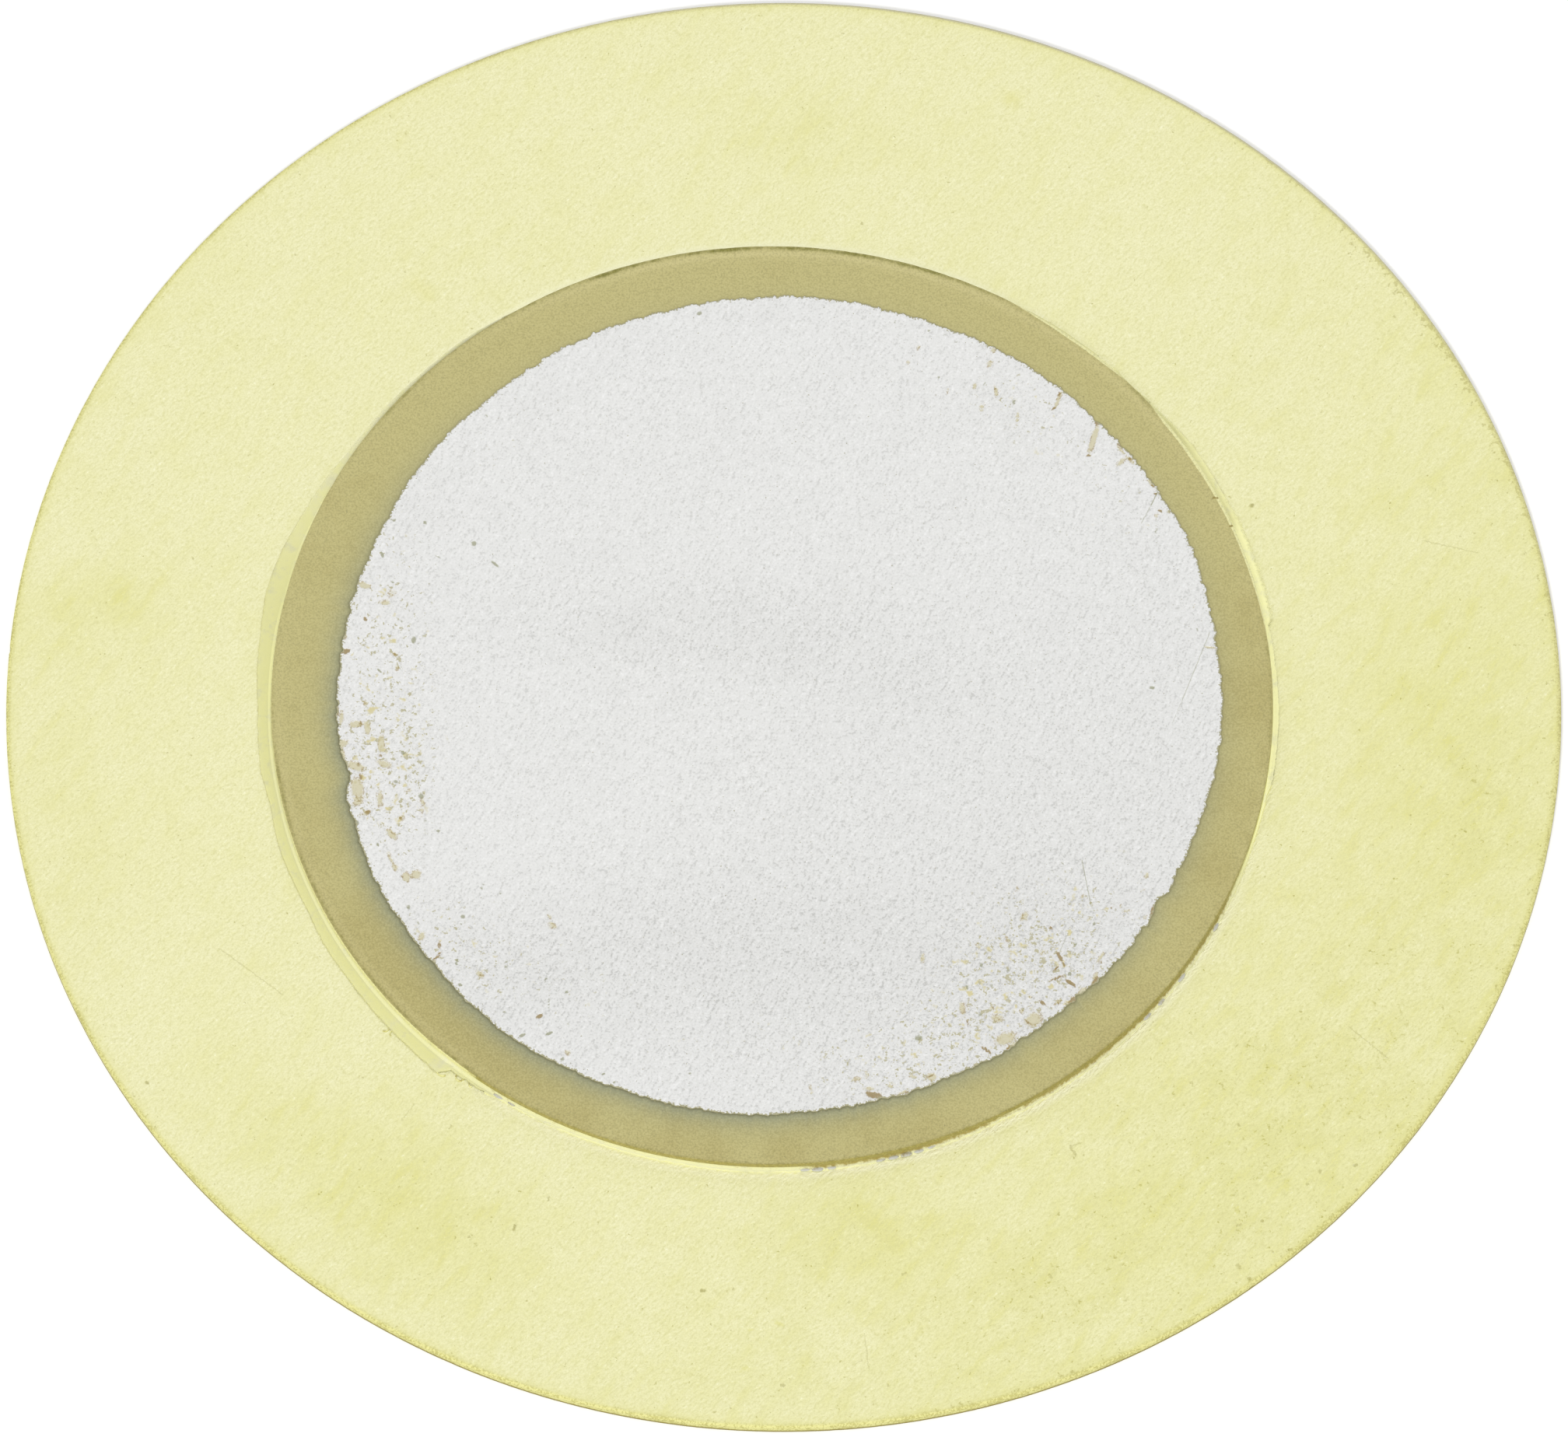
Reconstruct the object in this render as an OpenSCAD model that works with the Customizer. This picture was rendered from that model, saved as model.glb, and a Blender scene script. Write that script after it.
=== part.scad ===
// Piezo disc: a thin round brass plate with a smaller silvered ceramic disc bonded on top of it.
// Millimetres. The origin is the centre of the plate's underside, and +Z points up through the ceramic.

/* [Brass plate] */
// Diameter of the plate
plate_d = 14; // [12:0.5:20]
// Thickness of the plate
plate_t = 0.1; // [0.08:0.01:0.3]
// Width of the upper edge that the punch rolls over
roll_w = 0.03; // [0.01:0.01:0.1]
// Drop of the rolled-over upper edge
roll_h = 0.015; // [0.005:0.005:0.03]

/* [Ceramic disc] */
// Diameter of the ceramic
ceramic_d = 9.02; // [7:0.02:10.5]
// Thickness of the ceramic
ceramic_t = 0.1; // [0.08:0.01:0.3]
// Size of the break along the ceramic's upper edge
ceramic_break = 0.008; // [0.004:0.002:0.02]
// How far the ceramic sits off the plate's centre, to the right
ceramic_x = -0.107; // [-0.2:0.001:0.2]
// How far the ceramic sits off the plate's centre, to the back
ceramic_y = -0.001; // [-0.2:0.001:0.2]

/* [Silver electrodes] */
// Thickness of each fired silver film
silver_t = 0.01; // [0.006:0.001:0.02]
// Width of the bare ceramic ring around the upper film
upper_margin = 0.516; // [0.3:0.002:0.9]
// Width of the bare ceramic ring around the lower film
lower_margin = 0.2; // [0.1:0.05:0.5]
// How far the upper film is printed off the ceramic's centre, to the right
upper_shift_x = 0.054; // [-0.1:0.001:0.1]
// How far the upper film is printed off the ceramic's centre, to the back
upper_shift_y = -0.003; // [-0.1:0.001:0.1]
// Swell of the upper film along its long slanting axis
upper_oval = 0.031; // [0:0.001:0.04]
// Depth of the three broad lobes on the upper film's outline
upper_lobe = 0.018; // [0:0.001:0.03]
// Depth of the printed ripple on the upper film's outline
upper_ripple = 0.008; // [0:0.001:0.015]

/* [Adhesive] */
// Thickness of the adhesive between the plate and the lower film
bond_t = 0.01; // [0.005:0.001:0.02]
// Width of the narrow lip that shows around the ceramic
lip_w = 0.025; // [0.02:0.005:0.1]
// Height to which the lip climbs the ceramic's side
lip_h = 0.06; // [0.03:0.005:0.07]
// Extra width of the smear on the left, at its widest
left_smear = 0.19; // [0:0.005:0.3]
// Extra width of the smear at the upper right, at its widest
right_smear = 0.105; // [0:0.005:0.2]
// Depth of the ragged edge of the adhesive
lip_ragged = 0.008; // [0:0.001:0.015]

/* [Hidden] */
plate_r = plate_d / 2;
ceramic_r = ceramic_d / 2;
upper_r = ceramic_r - upper_margin;
lower_r = ceramic_r - lower_margin;
// Level of each layer's underside above the plate's underside
bond_z = plate_t;
lower_z = bond_z + bond_t;
ceramic_z = lower_z + silver_t;
upper_z = ceramic_z + ceramic_t;
// Directions around the disc, in degrees from the right
oval_at = 59;
lobe_at = 6;
ripple_at = 24;
// How each smear widens and narrows: a direction, and its share of the widest there
left_shape = [
    [118, 0], [125, 0.24], [147, 0.32], [152, 0.5], [160, 0.84], [166, 1], [172, 0.76], [180, 0.6],
    [188, 0.66], [192, 0.47], [197, 0.58], [206, 0.53], [210, 0.66], [222, 0.68], [230, 0.8],
    [231, 0.24], [235, 0.18], [237, 0]
];
right_shape = [
    [-11, 0], [-9, 0.33], [10, 0.33], [11, 0.95], [23, 1], [26, 0.8], [34, 0.76], [41, 0.24],
    [44, 0], [48, 0.28], [56, 0.24], [65, 0]
];
// Waves around the upper film: the print's slow ripple, and a finer one that is this share of it
slow_waves = 12;
fine_waves = 67;
fine_share = 0.4;
// Waves around the adhesive's ragged edge, each with its turn in degrees
lip_waves = [[9, 20], [16, 75], [31, 0]];
// Steps around each outline, and up the rolled-over edge
edge_steps = 432;
lip_steps = 360;
roll_steps = 3;
round_fn = 180;

// Distance of the upper film's edge from its centre, in the direction a
function print_edge(a) = upper_r
    + upper_oval * cos(2 * (a - oval_at))
    + upper_lobe * cos(3 * (a - lobe_at))
    + upper_ripple * cos(slow_waves * (a - ripple_at))
    + upper_ripple * fine_share * cos(fine_waves * a);

// The mean of the mixed waves, between -1 and 1, for an edge that set as it flowed
function ragged(a) = [for (w = lip_waves) cos(w[0] * a + w[1])] * [for (w = lip_waves) 1 / len(lip_waves)];

// Distance of the adhesive's outer edge from the ceramic's centre, in the direction a
function lip_edge(a) = ceramic_r + lip_w
    + left_smear * lookup(a, left_shape)
    + right_smear * lookup(a > 180 ? a - 360 : a, right_shape)
    + lip_ragged * ragged(a);

// Points of an outline given as its distance from the centre in each direction
function around(radii) = [for (i = [0:len(radii) - 1])
    let (a = 360 * i / len(radii)) [radii[i] * cos(a), radii[i] * sin(a)]];

// Moves a layer to the ceramic's centre and to its own level
module at_ceramic(level) {
    translate([ceramic_x, ceramic_y, level]) children();
}

// Stamped plate with a square lower edge and a rolled-over upper one
module brass_plate() {
    color([0.90, 0.89, 0.68])
        rotate_extrude($fn = round_fn)
            polygon([
                [0, 0],
                [plate_r, 0],
                for (i = [0:roll_steps])
                    let (t = 90 * i / roll_steps)
                    [plate_r - roll_w * (1 - cos(t)), plate_t - roll_h * (1 - sin(t))],
                [0, plate_t]
            ]);
}

// Thin adhesive film, let in for the lower electrode, with a lip up the ceramic's side
module bond_layer() {
    color([0.88, 0.87, 0.66])
        at_ceramic(bond_z) {
            difference() {
                linear_extrude(height = bond_t + silver_t)
                    polygon(around([for (i = [0:lip_steps - 1]) lip_edge(360 * i / lip_steps)]));
                translate([0, 0, bond_t]) cylinder(h = 2 * silver_t, r = lower_r, $fn = round_fn);
            }
            rotate_extrude($fn = round_fn)
                polygon([
                    [ceramic_r, bond_t],
                    [ceramic_r + lip_w - lip_ragged, bond_t],
                    [ceramic_r + lip_w - lip_ragged, bond_t + silver_t],
                    [ceramic_r, lip_h]
                ]);
        }
}

// Silver film fired on the ceramic's underside, against the adhesive
module lower_electrode() {
    color([0.82, 0.82, 0.80])
        at_ceramic(lower_z) cylinder(h = silver_t, r = lower_r, $fn = round_fn);
}

// Fired ceramic disc with a slight break along its upper edge
module ceramic_disc() {
    color([0.75, 0.71, 0.50])
        at_ceramic(ceramic_z)
            rotate_extrude($fn = round_fn)
                polygon([
                    [0, 0],
                    [ceramic_r, 0],
                    [ceramic_r, ceramic_t - ceramic_break],
                    [ceramic_r - ceramic_break, ceramic_t],
                    [0, ceramic_t]
                ]);
}

// Silver film printed and fired on the ceramic's upper face, a little out of round
module upper_electrode() {
    color([0.91, 0.91, 0.90])
        at_ceramic(upper_z)
            translate([upper_shift_x, upper_shift_y, 0])
                linear_extrude(height = silver_t)
                    polygon(around([for (i = [0:edge_steps - 1]) print_edge(360 * i / edge_steps)]));
}

brass_plate();
bond_layer();
lower_electrode();
ceramic_disc();
upper_electrode();
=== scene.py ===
"""Looks of a piezo disc: a silvered ceramic disc on a thin round brass plate, on a pale studio floor."""

import math
from collections import namedtuple

import bmesh
import bpy
from bpy.props import FloatProperty, FloatVectorProperty, IntProperty, PointerProperty
from mathutils import Matrix, Vector, noise
from mathutils.kdtree import KDTree


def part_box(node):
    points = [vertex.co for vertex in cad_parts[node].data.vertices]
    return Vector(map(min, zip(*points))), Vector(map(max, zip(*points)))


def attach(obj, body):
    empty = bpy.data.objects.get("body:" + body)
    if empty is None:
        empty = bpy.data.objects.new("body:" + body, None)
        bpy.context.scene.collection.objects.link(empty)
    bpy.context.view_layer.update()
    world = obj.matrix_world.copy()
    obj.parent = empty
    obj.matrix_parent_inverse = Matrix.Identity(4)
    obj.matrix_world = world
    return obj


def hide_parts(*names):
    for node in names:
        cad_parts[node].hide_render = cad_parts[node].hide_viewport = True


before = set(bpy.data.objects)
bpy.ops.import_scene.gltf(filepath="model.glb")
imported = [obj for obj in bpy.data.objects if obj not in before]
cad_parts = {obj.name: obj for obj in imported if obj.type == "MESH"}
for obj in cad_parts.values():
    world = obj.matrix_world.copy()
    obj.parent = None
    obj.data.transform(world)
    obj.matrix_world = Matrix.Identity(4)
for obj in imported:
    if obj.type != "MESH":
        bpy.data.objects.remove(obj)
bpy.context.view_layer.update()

bl_info = {
    "name": "Piezo Disc",
    "version": (1, 0, 0),
    "blender": (4, 5, 0),
    "location": "View3D > Sidebar > Piezo Disc",
    "description": "Models and finishes a thin silvered ceramic disc on a brass plate",
    "category": "Add Mesh",
}

MM = 0.001
BODY = "root"
FULL_TURN = 2 * math.pi
WEDGES = 24

# Levels of the layers, from the frame
PLATE_LOW, PLATE_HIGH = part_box("brass_plate")
BOND_LOW, BOND_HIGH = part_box("bond_layer")
LOWER_LOW, LOWER_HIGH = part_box("lower_electrode")
CERAMIC_LOW, CERAMIC_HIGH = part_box("ceramic_disc")
UPPER_LOW, UPPER_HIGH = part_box("upper_electrode")
PLATE_R = PLATE_HIGH.x / MM
PLATE_TOP = PLATE_HIGH.z / MM
FILM_TOP = LOWER_HIGH.z / MM
FILM_FLOOR = LOWER_LOW.z / MM
LIP_TOP = BOND_HIGH.z / MM
CERAMIC_BASE = CERAMIC_LOW.z / MM
CERAMIC_TOP = CERAMIC_HIGH.z / MM
SILVER_BASE = UPPER_LOW.z / MM
SILVER_TOP = UPPER_HIGH.z / MM

# Rows of the tables below, with sizes in mm and directions in degrees
# A fleck on the silver: its direction and distance from the film's centre, its length and width, its turn
# from lying along the edge to pointing outwards, and its strength
Fleck = namedtuple("Fleck", "angle radius length width turn strength")
# A soft patch on a face: its centre, its two half widths, its turn and its strength
Patch = namedtuple("Patch", "x y wide high turn strength")
# A fine line or dot on a face: both ends, its half width and its strength
Mark = namedtuple("Mark", "x y to_x to_y wide strength")
# A bead of adhesive: its direction and distance from the ceramic's edge, its length along the edge, its
# width, its height and how olive it is
Bead = namedtuple("Bead", "angle out long wide high olive")
# A curled thread of adhesive: its direction and distance from the ceramic's edge, the curl's radius, where it
# starts and how far it turns
Curl = namedtuple("Curl", "angle out radius start turn")


# Layers of painted values on the vertices of each piece
PLATE_LAYERS = ("mellow", "soil", "tarnish", "border", "greyed", "wall", "foot", "halo")
ADHESIVE_LAYERS = ("corner", "gloom", "border", "yellow", "bright", "dull", "frosted", "lip", "body")
CERAMIC_LAYERS = ("cool", "seam", "smeared", "line", "margin", "lit", "glint")
SILVER_LAYERS = ("haze", "rub", "worn", "browned", "scuffed", "edge")

# Small sizes of the pieces, in mm: the burr under the plate's edge, the zone and the roughness of its rim,
# how far the adhesive is sunk in the plate, the crumbs' depth on the lip and their gap to the plate, the
# threads' radius, and how far the ceramic's rings start inside the silver's edge
BURR = 0.006
RIM_ZONE = 0.08
RIM_ROUGH = 0.0025
FILM_SUNK = 0.001
CRUMB_DEPTH = 0.022
CRUMB_GAP = 0.0002
THREAD = 0.006
RING_LAP = 0.06
# The rings on the ceramic's top, from the first at 0 to its edge at 1
RING_SHARES = (
    0, 0.05, 0.09, 0.12, 0.15, 0.18, 0.21, 0.25, 0.3, 0.37, 0.46, 0.58, 0.72, 0.82, 0.86, 0.89, 0.91, 0.93,
    0.95, 0.965, 0.98, 1.0,
)
# How far in mm a vertex may be off a level and still be painted, and the least half sizes of a painted fleck
LEVEL_GAP = 0.004
LEAST_LENGTH = 0.014
LEAST_WIDTH = 0.012
# Swells of the silver's outline: the setting with its depth, its share, how many go round, and where one is
PRINT_SWELLS = (("oval", 1, 2, 59), ("lobe", 1, 3, 6), ("ripple", 1, 12, 24), ("ripple", 0.4, 67, 0))
# Noise of the outlines: each wave's share or depth in mm, how many go round, and its seed
TEETH_NOISE = ((0.55, 420, 1.5), (0.5, 860, 4.5), (0.3, 110, 7.5))
CRUMB_NOISE = ((0.5, 260, 11.5), (0.5, 620, 13.5))
LIP_NOISE = ((0.003, 500, 17.5),)
LINE_NOISE = ((1, 90, 21.5), (0.6, 300, 23.5))
CHIP_NOISE = ((0.004, 420, 3.5), (0.002, 90, 8.5))
# Coats along the ceramic's edge: colour and layer, how much specks break it up, where it starts and is full
EDGE_COATS = (("smeared", 0.7, 0.05, 0.95), ("line", 0.9, 0.0, 1.1), ("margin", 0.8, 0.2, 0.8))
# The key lamp, in degrees and metres, and the floor's own glow for the camera
LAMP_AZIMUTH = 258
LAMP_ELEVATION = 52
LAMP_DISTANCE = 0.5
LAMP_SIZE = 0.12
FLOOR_GLOW = 0.28


def listed(kind, *rows):
    """The rows of a table as named tuples."""
    return tuple(kind(*row) for row in rows)


# Places where the silver is rubbed through and the tan ceramic shows
WORN_FLECKS = listed(
    Fleck,
    (7.8, 3.93, 0.15, 0.024, -75, 0.8), (28.2, 3.88, 0.06, 0.05, 0, 0.5), (28.0, 3.99, 0.06, 0.03, 0, 0.7),
    (32.6, 4.0, 0.16, 0.025, 0, 0.8), (37.3, 3.9, 0.15, 0.06, 85, 0.6), (38.7, 3.97, 0.14, 0.04, 4, 0.7),
    (36.7, 3.98, 0.13, 0.05, 1, 0.6), (42.2, 3.85, 0.36, 0.06, 58, 0.9), (49.6, 3.91, 0.24, 0.035, 71, 0.8),
    (52.3, 3.54, 0.14, 0.03, 57, 0.8), (70.6, 3.55, 0.06, 0.04, 82, 0.6), (70.0, 3.72, 0.07, 0.04, 89, 0.5),
    (60.3, 3.59, 0.08, 0.04, 65, 0.8), (57.2, 3.64, 0.14, 0.04, 48, 0.8), (57.6, 3.44, 0.1, 0.045, 68, 0.7),
    (60.1, 3.85, 0.12, 0.08, 65, 0.5), (60.7, 3.98, 0.07, 0.05, 53, 0.7), (63.4, 3.43, 0.08, 0.04, 72, 0.5),
    (62.8, 3.24, 0.07, 0.03, 75, 0.4), (83.2, 4.0, 0.06, 0.02, 90, 0.6), (85.0, 4.0, 0.06, 0.02, 90, 0.6),
    (14.0, 3.87, 0.07, 0.03, 30, 0.35), (347.8, 3.98, 0.1, 0.015, 0, 0.6),
    (162.9, 3.9, 0.14, 0.075, 90, 0.8), (164.6, 3.67, 0.13, 0.06, 80, 0.65),
    (163.0, 3.64, 0.14, 0.12, 0, 0.35), (170.5, 3.95, 0.1, 0.05, 0, 0.5),
    (172.3, 3.49, 0.06, 0.045, -45, 0.7), (174.4, 3.45, 0.09, 0.03, 0, 0.5),
    (180.2, 3.71, 0.06, 0.05, 0, 0.7), (182.3, 3.93, 0.18, 0.05, 10, 0.7),
    (183.3, 3.8, 0.14, 0.07, 85, 0.9), (184.0, 3.7, 0.16, 0.06, 0, 0.9), (185.9, 3.94, 0.12, 0.09, 90, 0.8),
    (187.6, 3.95, 0.18, 0.05, 0, 0.9), (186.6, 3.59, 0.22, 0.07, 5, 0.9),
    (189.4, 3.85, 0.2, 0.09, -60, 0.85), (189.8, 3.59, 0.16, 0.08, -60, 0.7),
    (192.6, 3.87, 0.24, 0.13, 5, 0.85), (194.6, 3.9, 0.12, 0.08, 80, 0.7),
    (196.4, 3.85, 0.1, 0.06, 85, 0.7), (194.9, 3.7, 0.22, 0.07, 10, 0.65),
    (200.5, 3.7, 0.15, 0.07, -20, 0.8), (198.6, 3.57, 0.07, 0.05, 0, 0.7),
    (203.7, 3.8, 0.16, 0.045, 5, 0.6), (194.7, 3.43, 0.06, 0.07, 0, 0.5),
    (197.3, 3.34, 0.26, 0.045, 22, 0.6), (205.3, 3.8, 0.1, 0.05, 0, 0.7),
    (207.2, 3.75, 0.12, 0.07, 20, 0.9), (207.5, 3.66, 0.1, 0.1, 0, 0.85),
    (215.7, 3.93, 0.12, 0.06, 60, 0.8), (225.0, 3.77, 0.1, 0.06, 0, 0.8),
    (223.8, 3.75, 0.08, 0.03, 20, 0.5), (241.2, 3.91, 0.08, 0.06, 0, 0.55),
    (227.3, 2.98, 0.12, 0.06, 0, 0.7), (225.7, 2.93, 0.08, 0.03, 10, 0.5),
    (219.5, 3.99, 0.06, 0.03, 60, 0.6), (274.5, 3.8, 0.16, 0.035, 80, 0.5),
    (282.2, 3.86, 0.14, 0.05, 20, 0.6), (280.8, 3.75, 0.11, 0.06, 0, 0.6),
    (282.3, 3.72, 0.12, 0.05, 90, 0.45), (285.0, 3.88, 0.06, 0.05, 60, 0.7),
    (286.4, 3.97, 0.17, 0.03, 0, 0.75), (288.3, 3.85, 0.1, 0.035, 30, 0.7),
    (290.6, 3.91, 0.1, 0.08, 30, 0.95), (296.6, 3.96, 0.06, 0.03, 0, 0.7),
    (301.8, 3.87, 0.24, 0.13, 10, 0.8), (302.0, 3.96, 0.16, 0.03, 0, 0.9), (306.4, 3.86, 0.2, 0.16, 0, 0.7),
    (305.8, 3.73, 0.06, 0.04, 80, 0.6), (302.4, 3.66, 0.15, 0.1, 45, 0.6),
    (310.5, 3.86, 0.1, 0.035, 10, 0.7), (298.9, 3.42, 0.17, 0.07, -70, 0.65),
    (302.8, 3.32, 0.15, 0.02, -5, 0.5), (293.8, 3.32, 0.07, 0.04, 0, 0.45),
    (306.9, 2.99, 0.08, 0.035, 80, 0.6), (307.3, 2.95, 0.05, 0.03, 0, 0.6),
    (311.5, 3.1, 0.1, 0.045, -60, 0.45), (297.4, 2.82, 0.12, 0.06, -60, 0.55),
    (316.5, 3.05, 0.13, 0.08, 0, 0.6), (313.9, 3.93, 0.12, 0.06, 0, 0.9), (311.4, 3.93, 0.06, 0.05, 0, 0.8),
    (316.7, 3.91, 0.1, 0.04, -20, 0.8), (319.2, 3.82, 0.15, 0.035, -5, 0.75),
    (326.8, 3.74, 0.1, 0.04, 50, 0.6), (327.0, 3.67, 0.05, 0.03, 0, 0.5),
    (325.1, 3.33, 0.07, 0.035, 0, 0.5), (327.4, 3.91, 0.06, 0.03, 0, 0.7),
    (332.8, 3.72, 0.08, 0.05, 0, 0.6), (330.7, 3.76, 0.07, 0.025, 40, 0.5),
    (314.0, 3.41, 0.1, 0.04, 0, 0.4), (319.6, 2.82, 0.1, 0.04, -20, 0.4), (331.0, 3.47, 0.07, 0.03, 0, 0.4),
)
# Browned flecks on the silver, mostly at its edge
BROWN_FLECKS = listed(
    Fleck,
    (7.6, 3.99, 0.04, 0.025, 90, 0.6), (5.1, 3.99, 0.05, 0.018, 0, 0.6),
    (28.6, 3.93, 0.08, 0.035, -30, 0.6), (31.0, 3.98, 0.07, 0.022, 60, 0.8),
    (32.2, 4.0, 0.06, 0.02, 0, 0.7), (37.0, 3.98, 0.04, 0.04, 0, 0.9), (39.2, 3.99, 0.1, 0.025, 0, 0.8),
    (43.6, 3.99, 0.06, 0.05, 60, 1.0), (40.9, 3.71, 0.05, 0.03, -41, 0.8),
    (50.0, 3.96, 0.08, 0.03, 66, 0.8), (49.2, 3.82, 0.05, 0.03, -81, 0.8),
    (57.5, 3.66, 0.04, 0.02, 66, 0.6), (167.7, 3.8, 0.06, 0.04, -45, 0.8),
    (172.7, 3.93, 0.11, 0.055, 75, 1.0), (180.2, 3.71, 0.04, 0.03, 0, 0.7),
    (181.3, 3.96, 0.1, 0.03, 0, 0.9), (183.2, 3.76, 0.05, 0.05, 0, 0.6), (187.6, 3.97, 0.1, 0.025, 0, 0.7),
    (188.4, 3.61, 0.05, 0.04, 0, 0.7), (189.3, 3.82, 0.06, 0.04, 0, 0.6), (191.0, 3.82, 0.08, 0.03, 0, 0.8),
    (194.4, 3.88, 0.07, 0.03, 80, 0.7), (196.3, 3.84, 0.08, 0.045, 85, 0.8),
    (198.6, 3.57, 0.04, 0.035, 0, 0.7), (200.4, 3.69, 0.08, 0.03, -30, 0.6),
    (205.2, 3.79, 0.06, 0.03, 0, 0.5), (207.0, 3.78, 0.06, 0.03, 20, 0.6),
    (218.0, 3.85, 0.1, 0.035, 40, 0.75), (219.2, 3.94, 0.15, 0.03, 75, 0.8),
    (225.1, 3.77, 0.05, 0.03, -20, 0.6), (235.2, 3.74, 0.08, 0.04, -65, 1.0),
    (172.3, 3.48, 0.04, 0.03, -45, 0.6), (282.6, 3.93, 0.18, 0.065, 25, 1.0),
    (290.5, 3.9, 0.07, 0.035, 0, 0.7), (298.8, 3.88, 0.15, 0.03, 65, 1.0),
    (301.6, 3.96, 0.08, 0.03, 0, 0.8), (286.8, 3.98, 0.06, 0.02, 0, 0.7),
    (305.6, 3.85, 0.12, 0.025, 85, 0.7), (308.9, 3.78, 0.11, 0.035, 80, 0.85),
    (308.2, 3.67, 0.09, 0.025, 45, 0.6), (310.5, 3.87, 0.05, 0.03, 10, 0.6),
    (302.6, 3.68, 0.05, 0.03, 60, 0.6), (302.8, 3.56, 0.05, 0.03, -60, 0.6),
    (298.5, 3.56, 0.1, 0.02, -60, 0.7), (299.7, 3.41, 0.06, 0.02, -80, 0.5),
    (312.2, 3.94, 0.14, 0.06, 0, 1.0), (315.9, 3.95, 0.16, 0.05, -15, 1.0),
    (313.7, 3.8, 0.14, 0.04, 80, 1.0), (315.4, 3.55, 0.12, 0.04, -70, 0.9),
    (314.9, 3.63, 0.06, 0.025, -70, 0.7), (312.8, 3.68, 0.18, 0.028, 20, 0.8),
    (313.4, 3.61, 0.15, 0.018, -5, 0.7), (318.6, 3.85, 0.06, 0.025, 0, 0.8),
    (320.0, 3.83, 0.05, 0.02, 0, 0.7), (317.9, 3.3, 0.1, 0.025, 65, 0.8), (326.1, 3.6, 0.06, 0.018, 0, 0.6),
    (328.5, 3.94, 0.16, 0.04, -20, 1.0),
)
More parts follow.
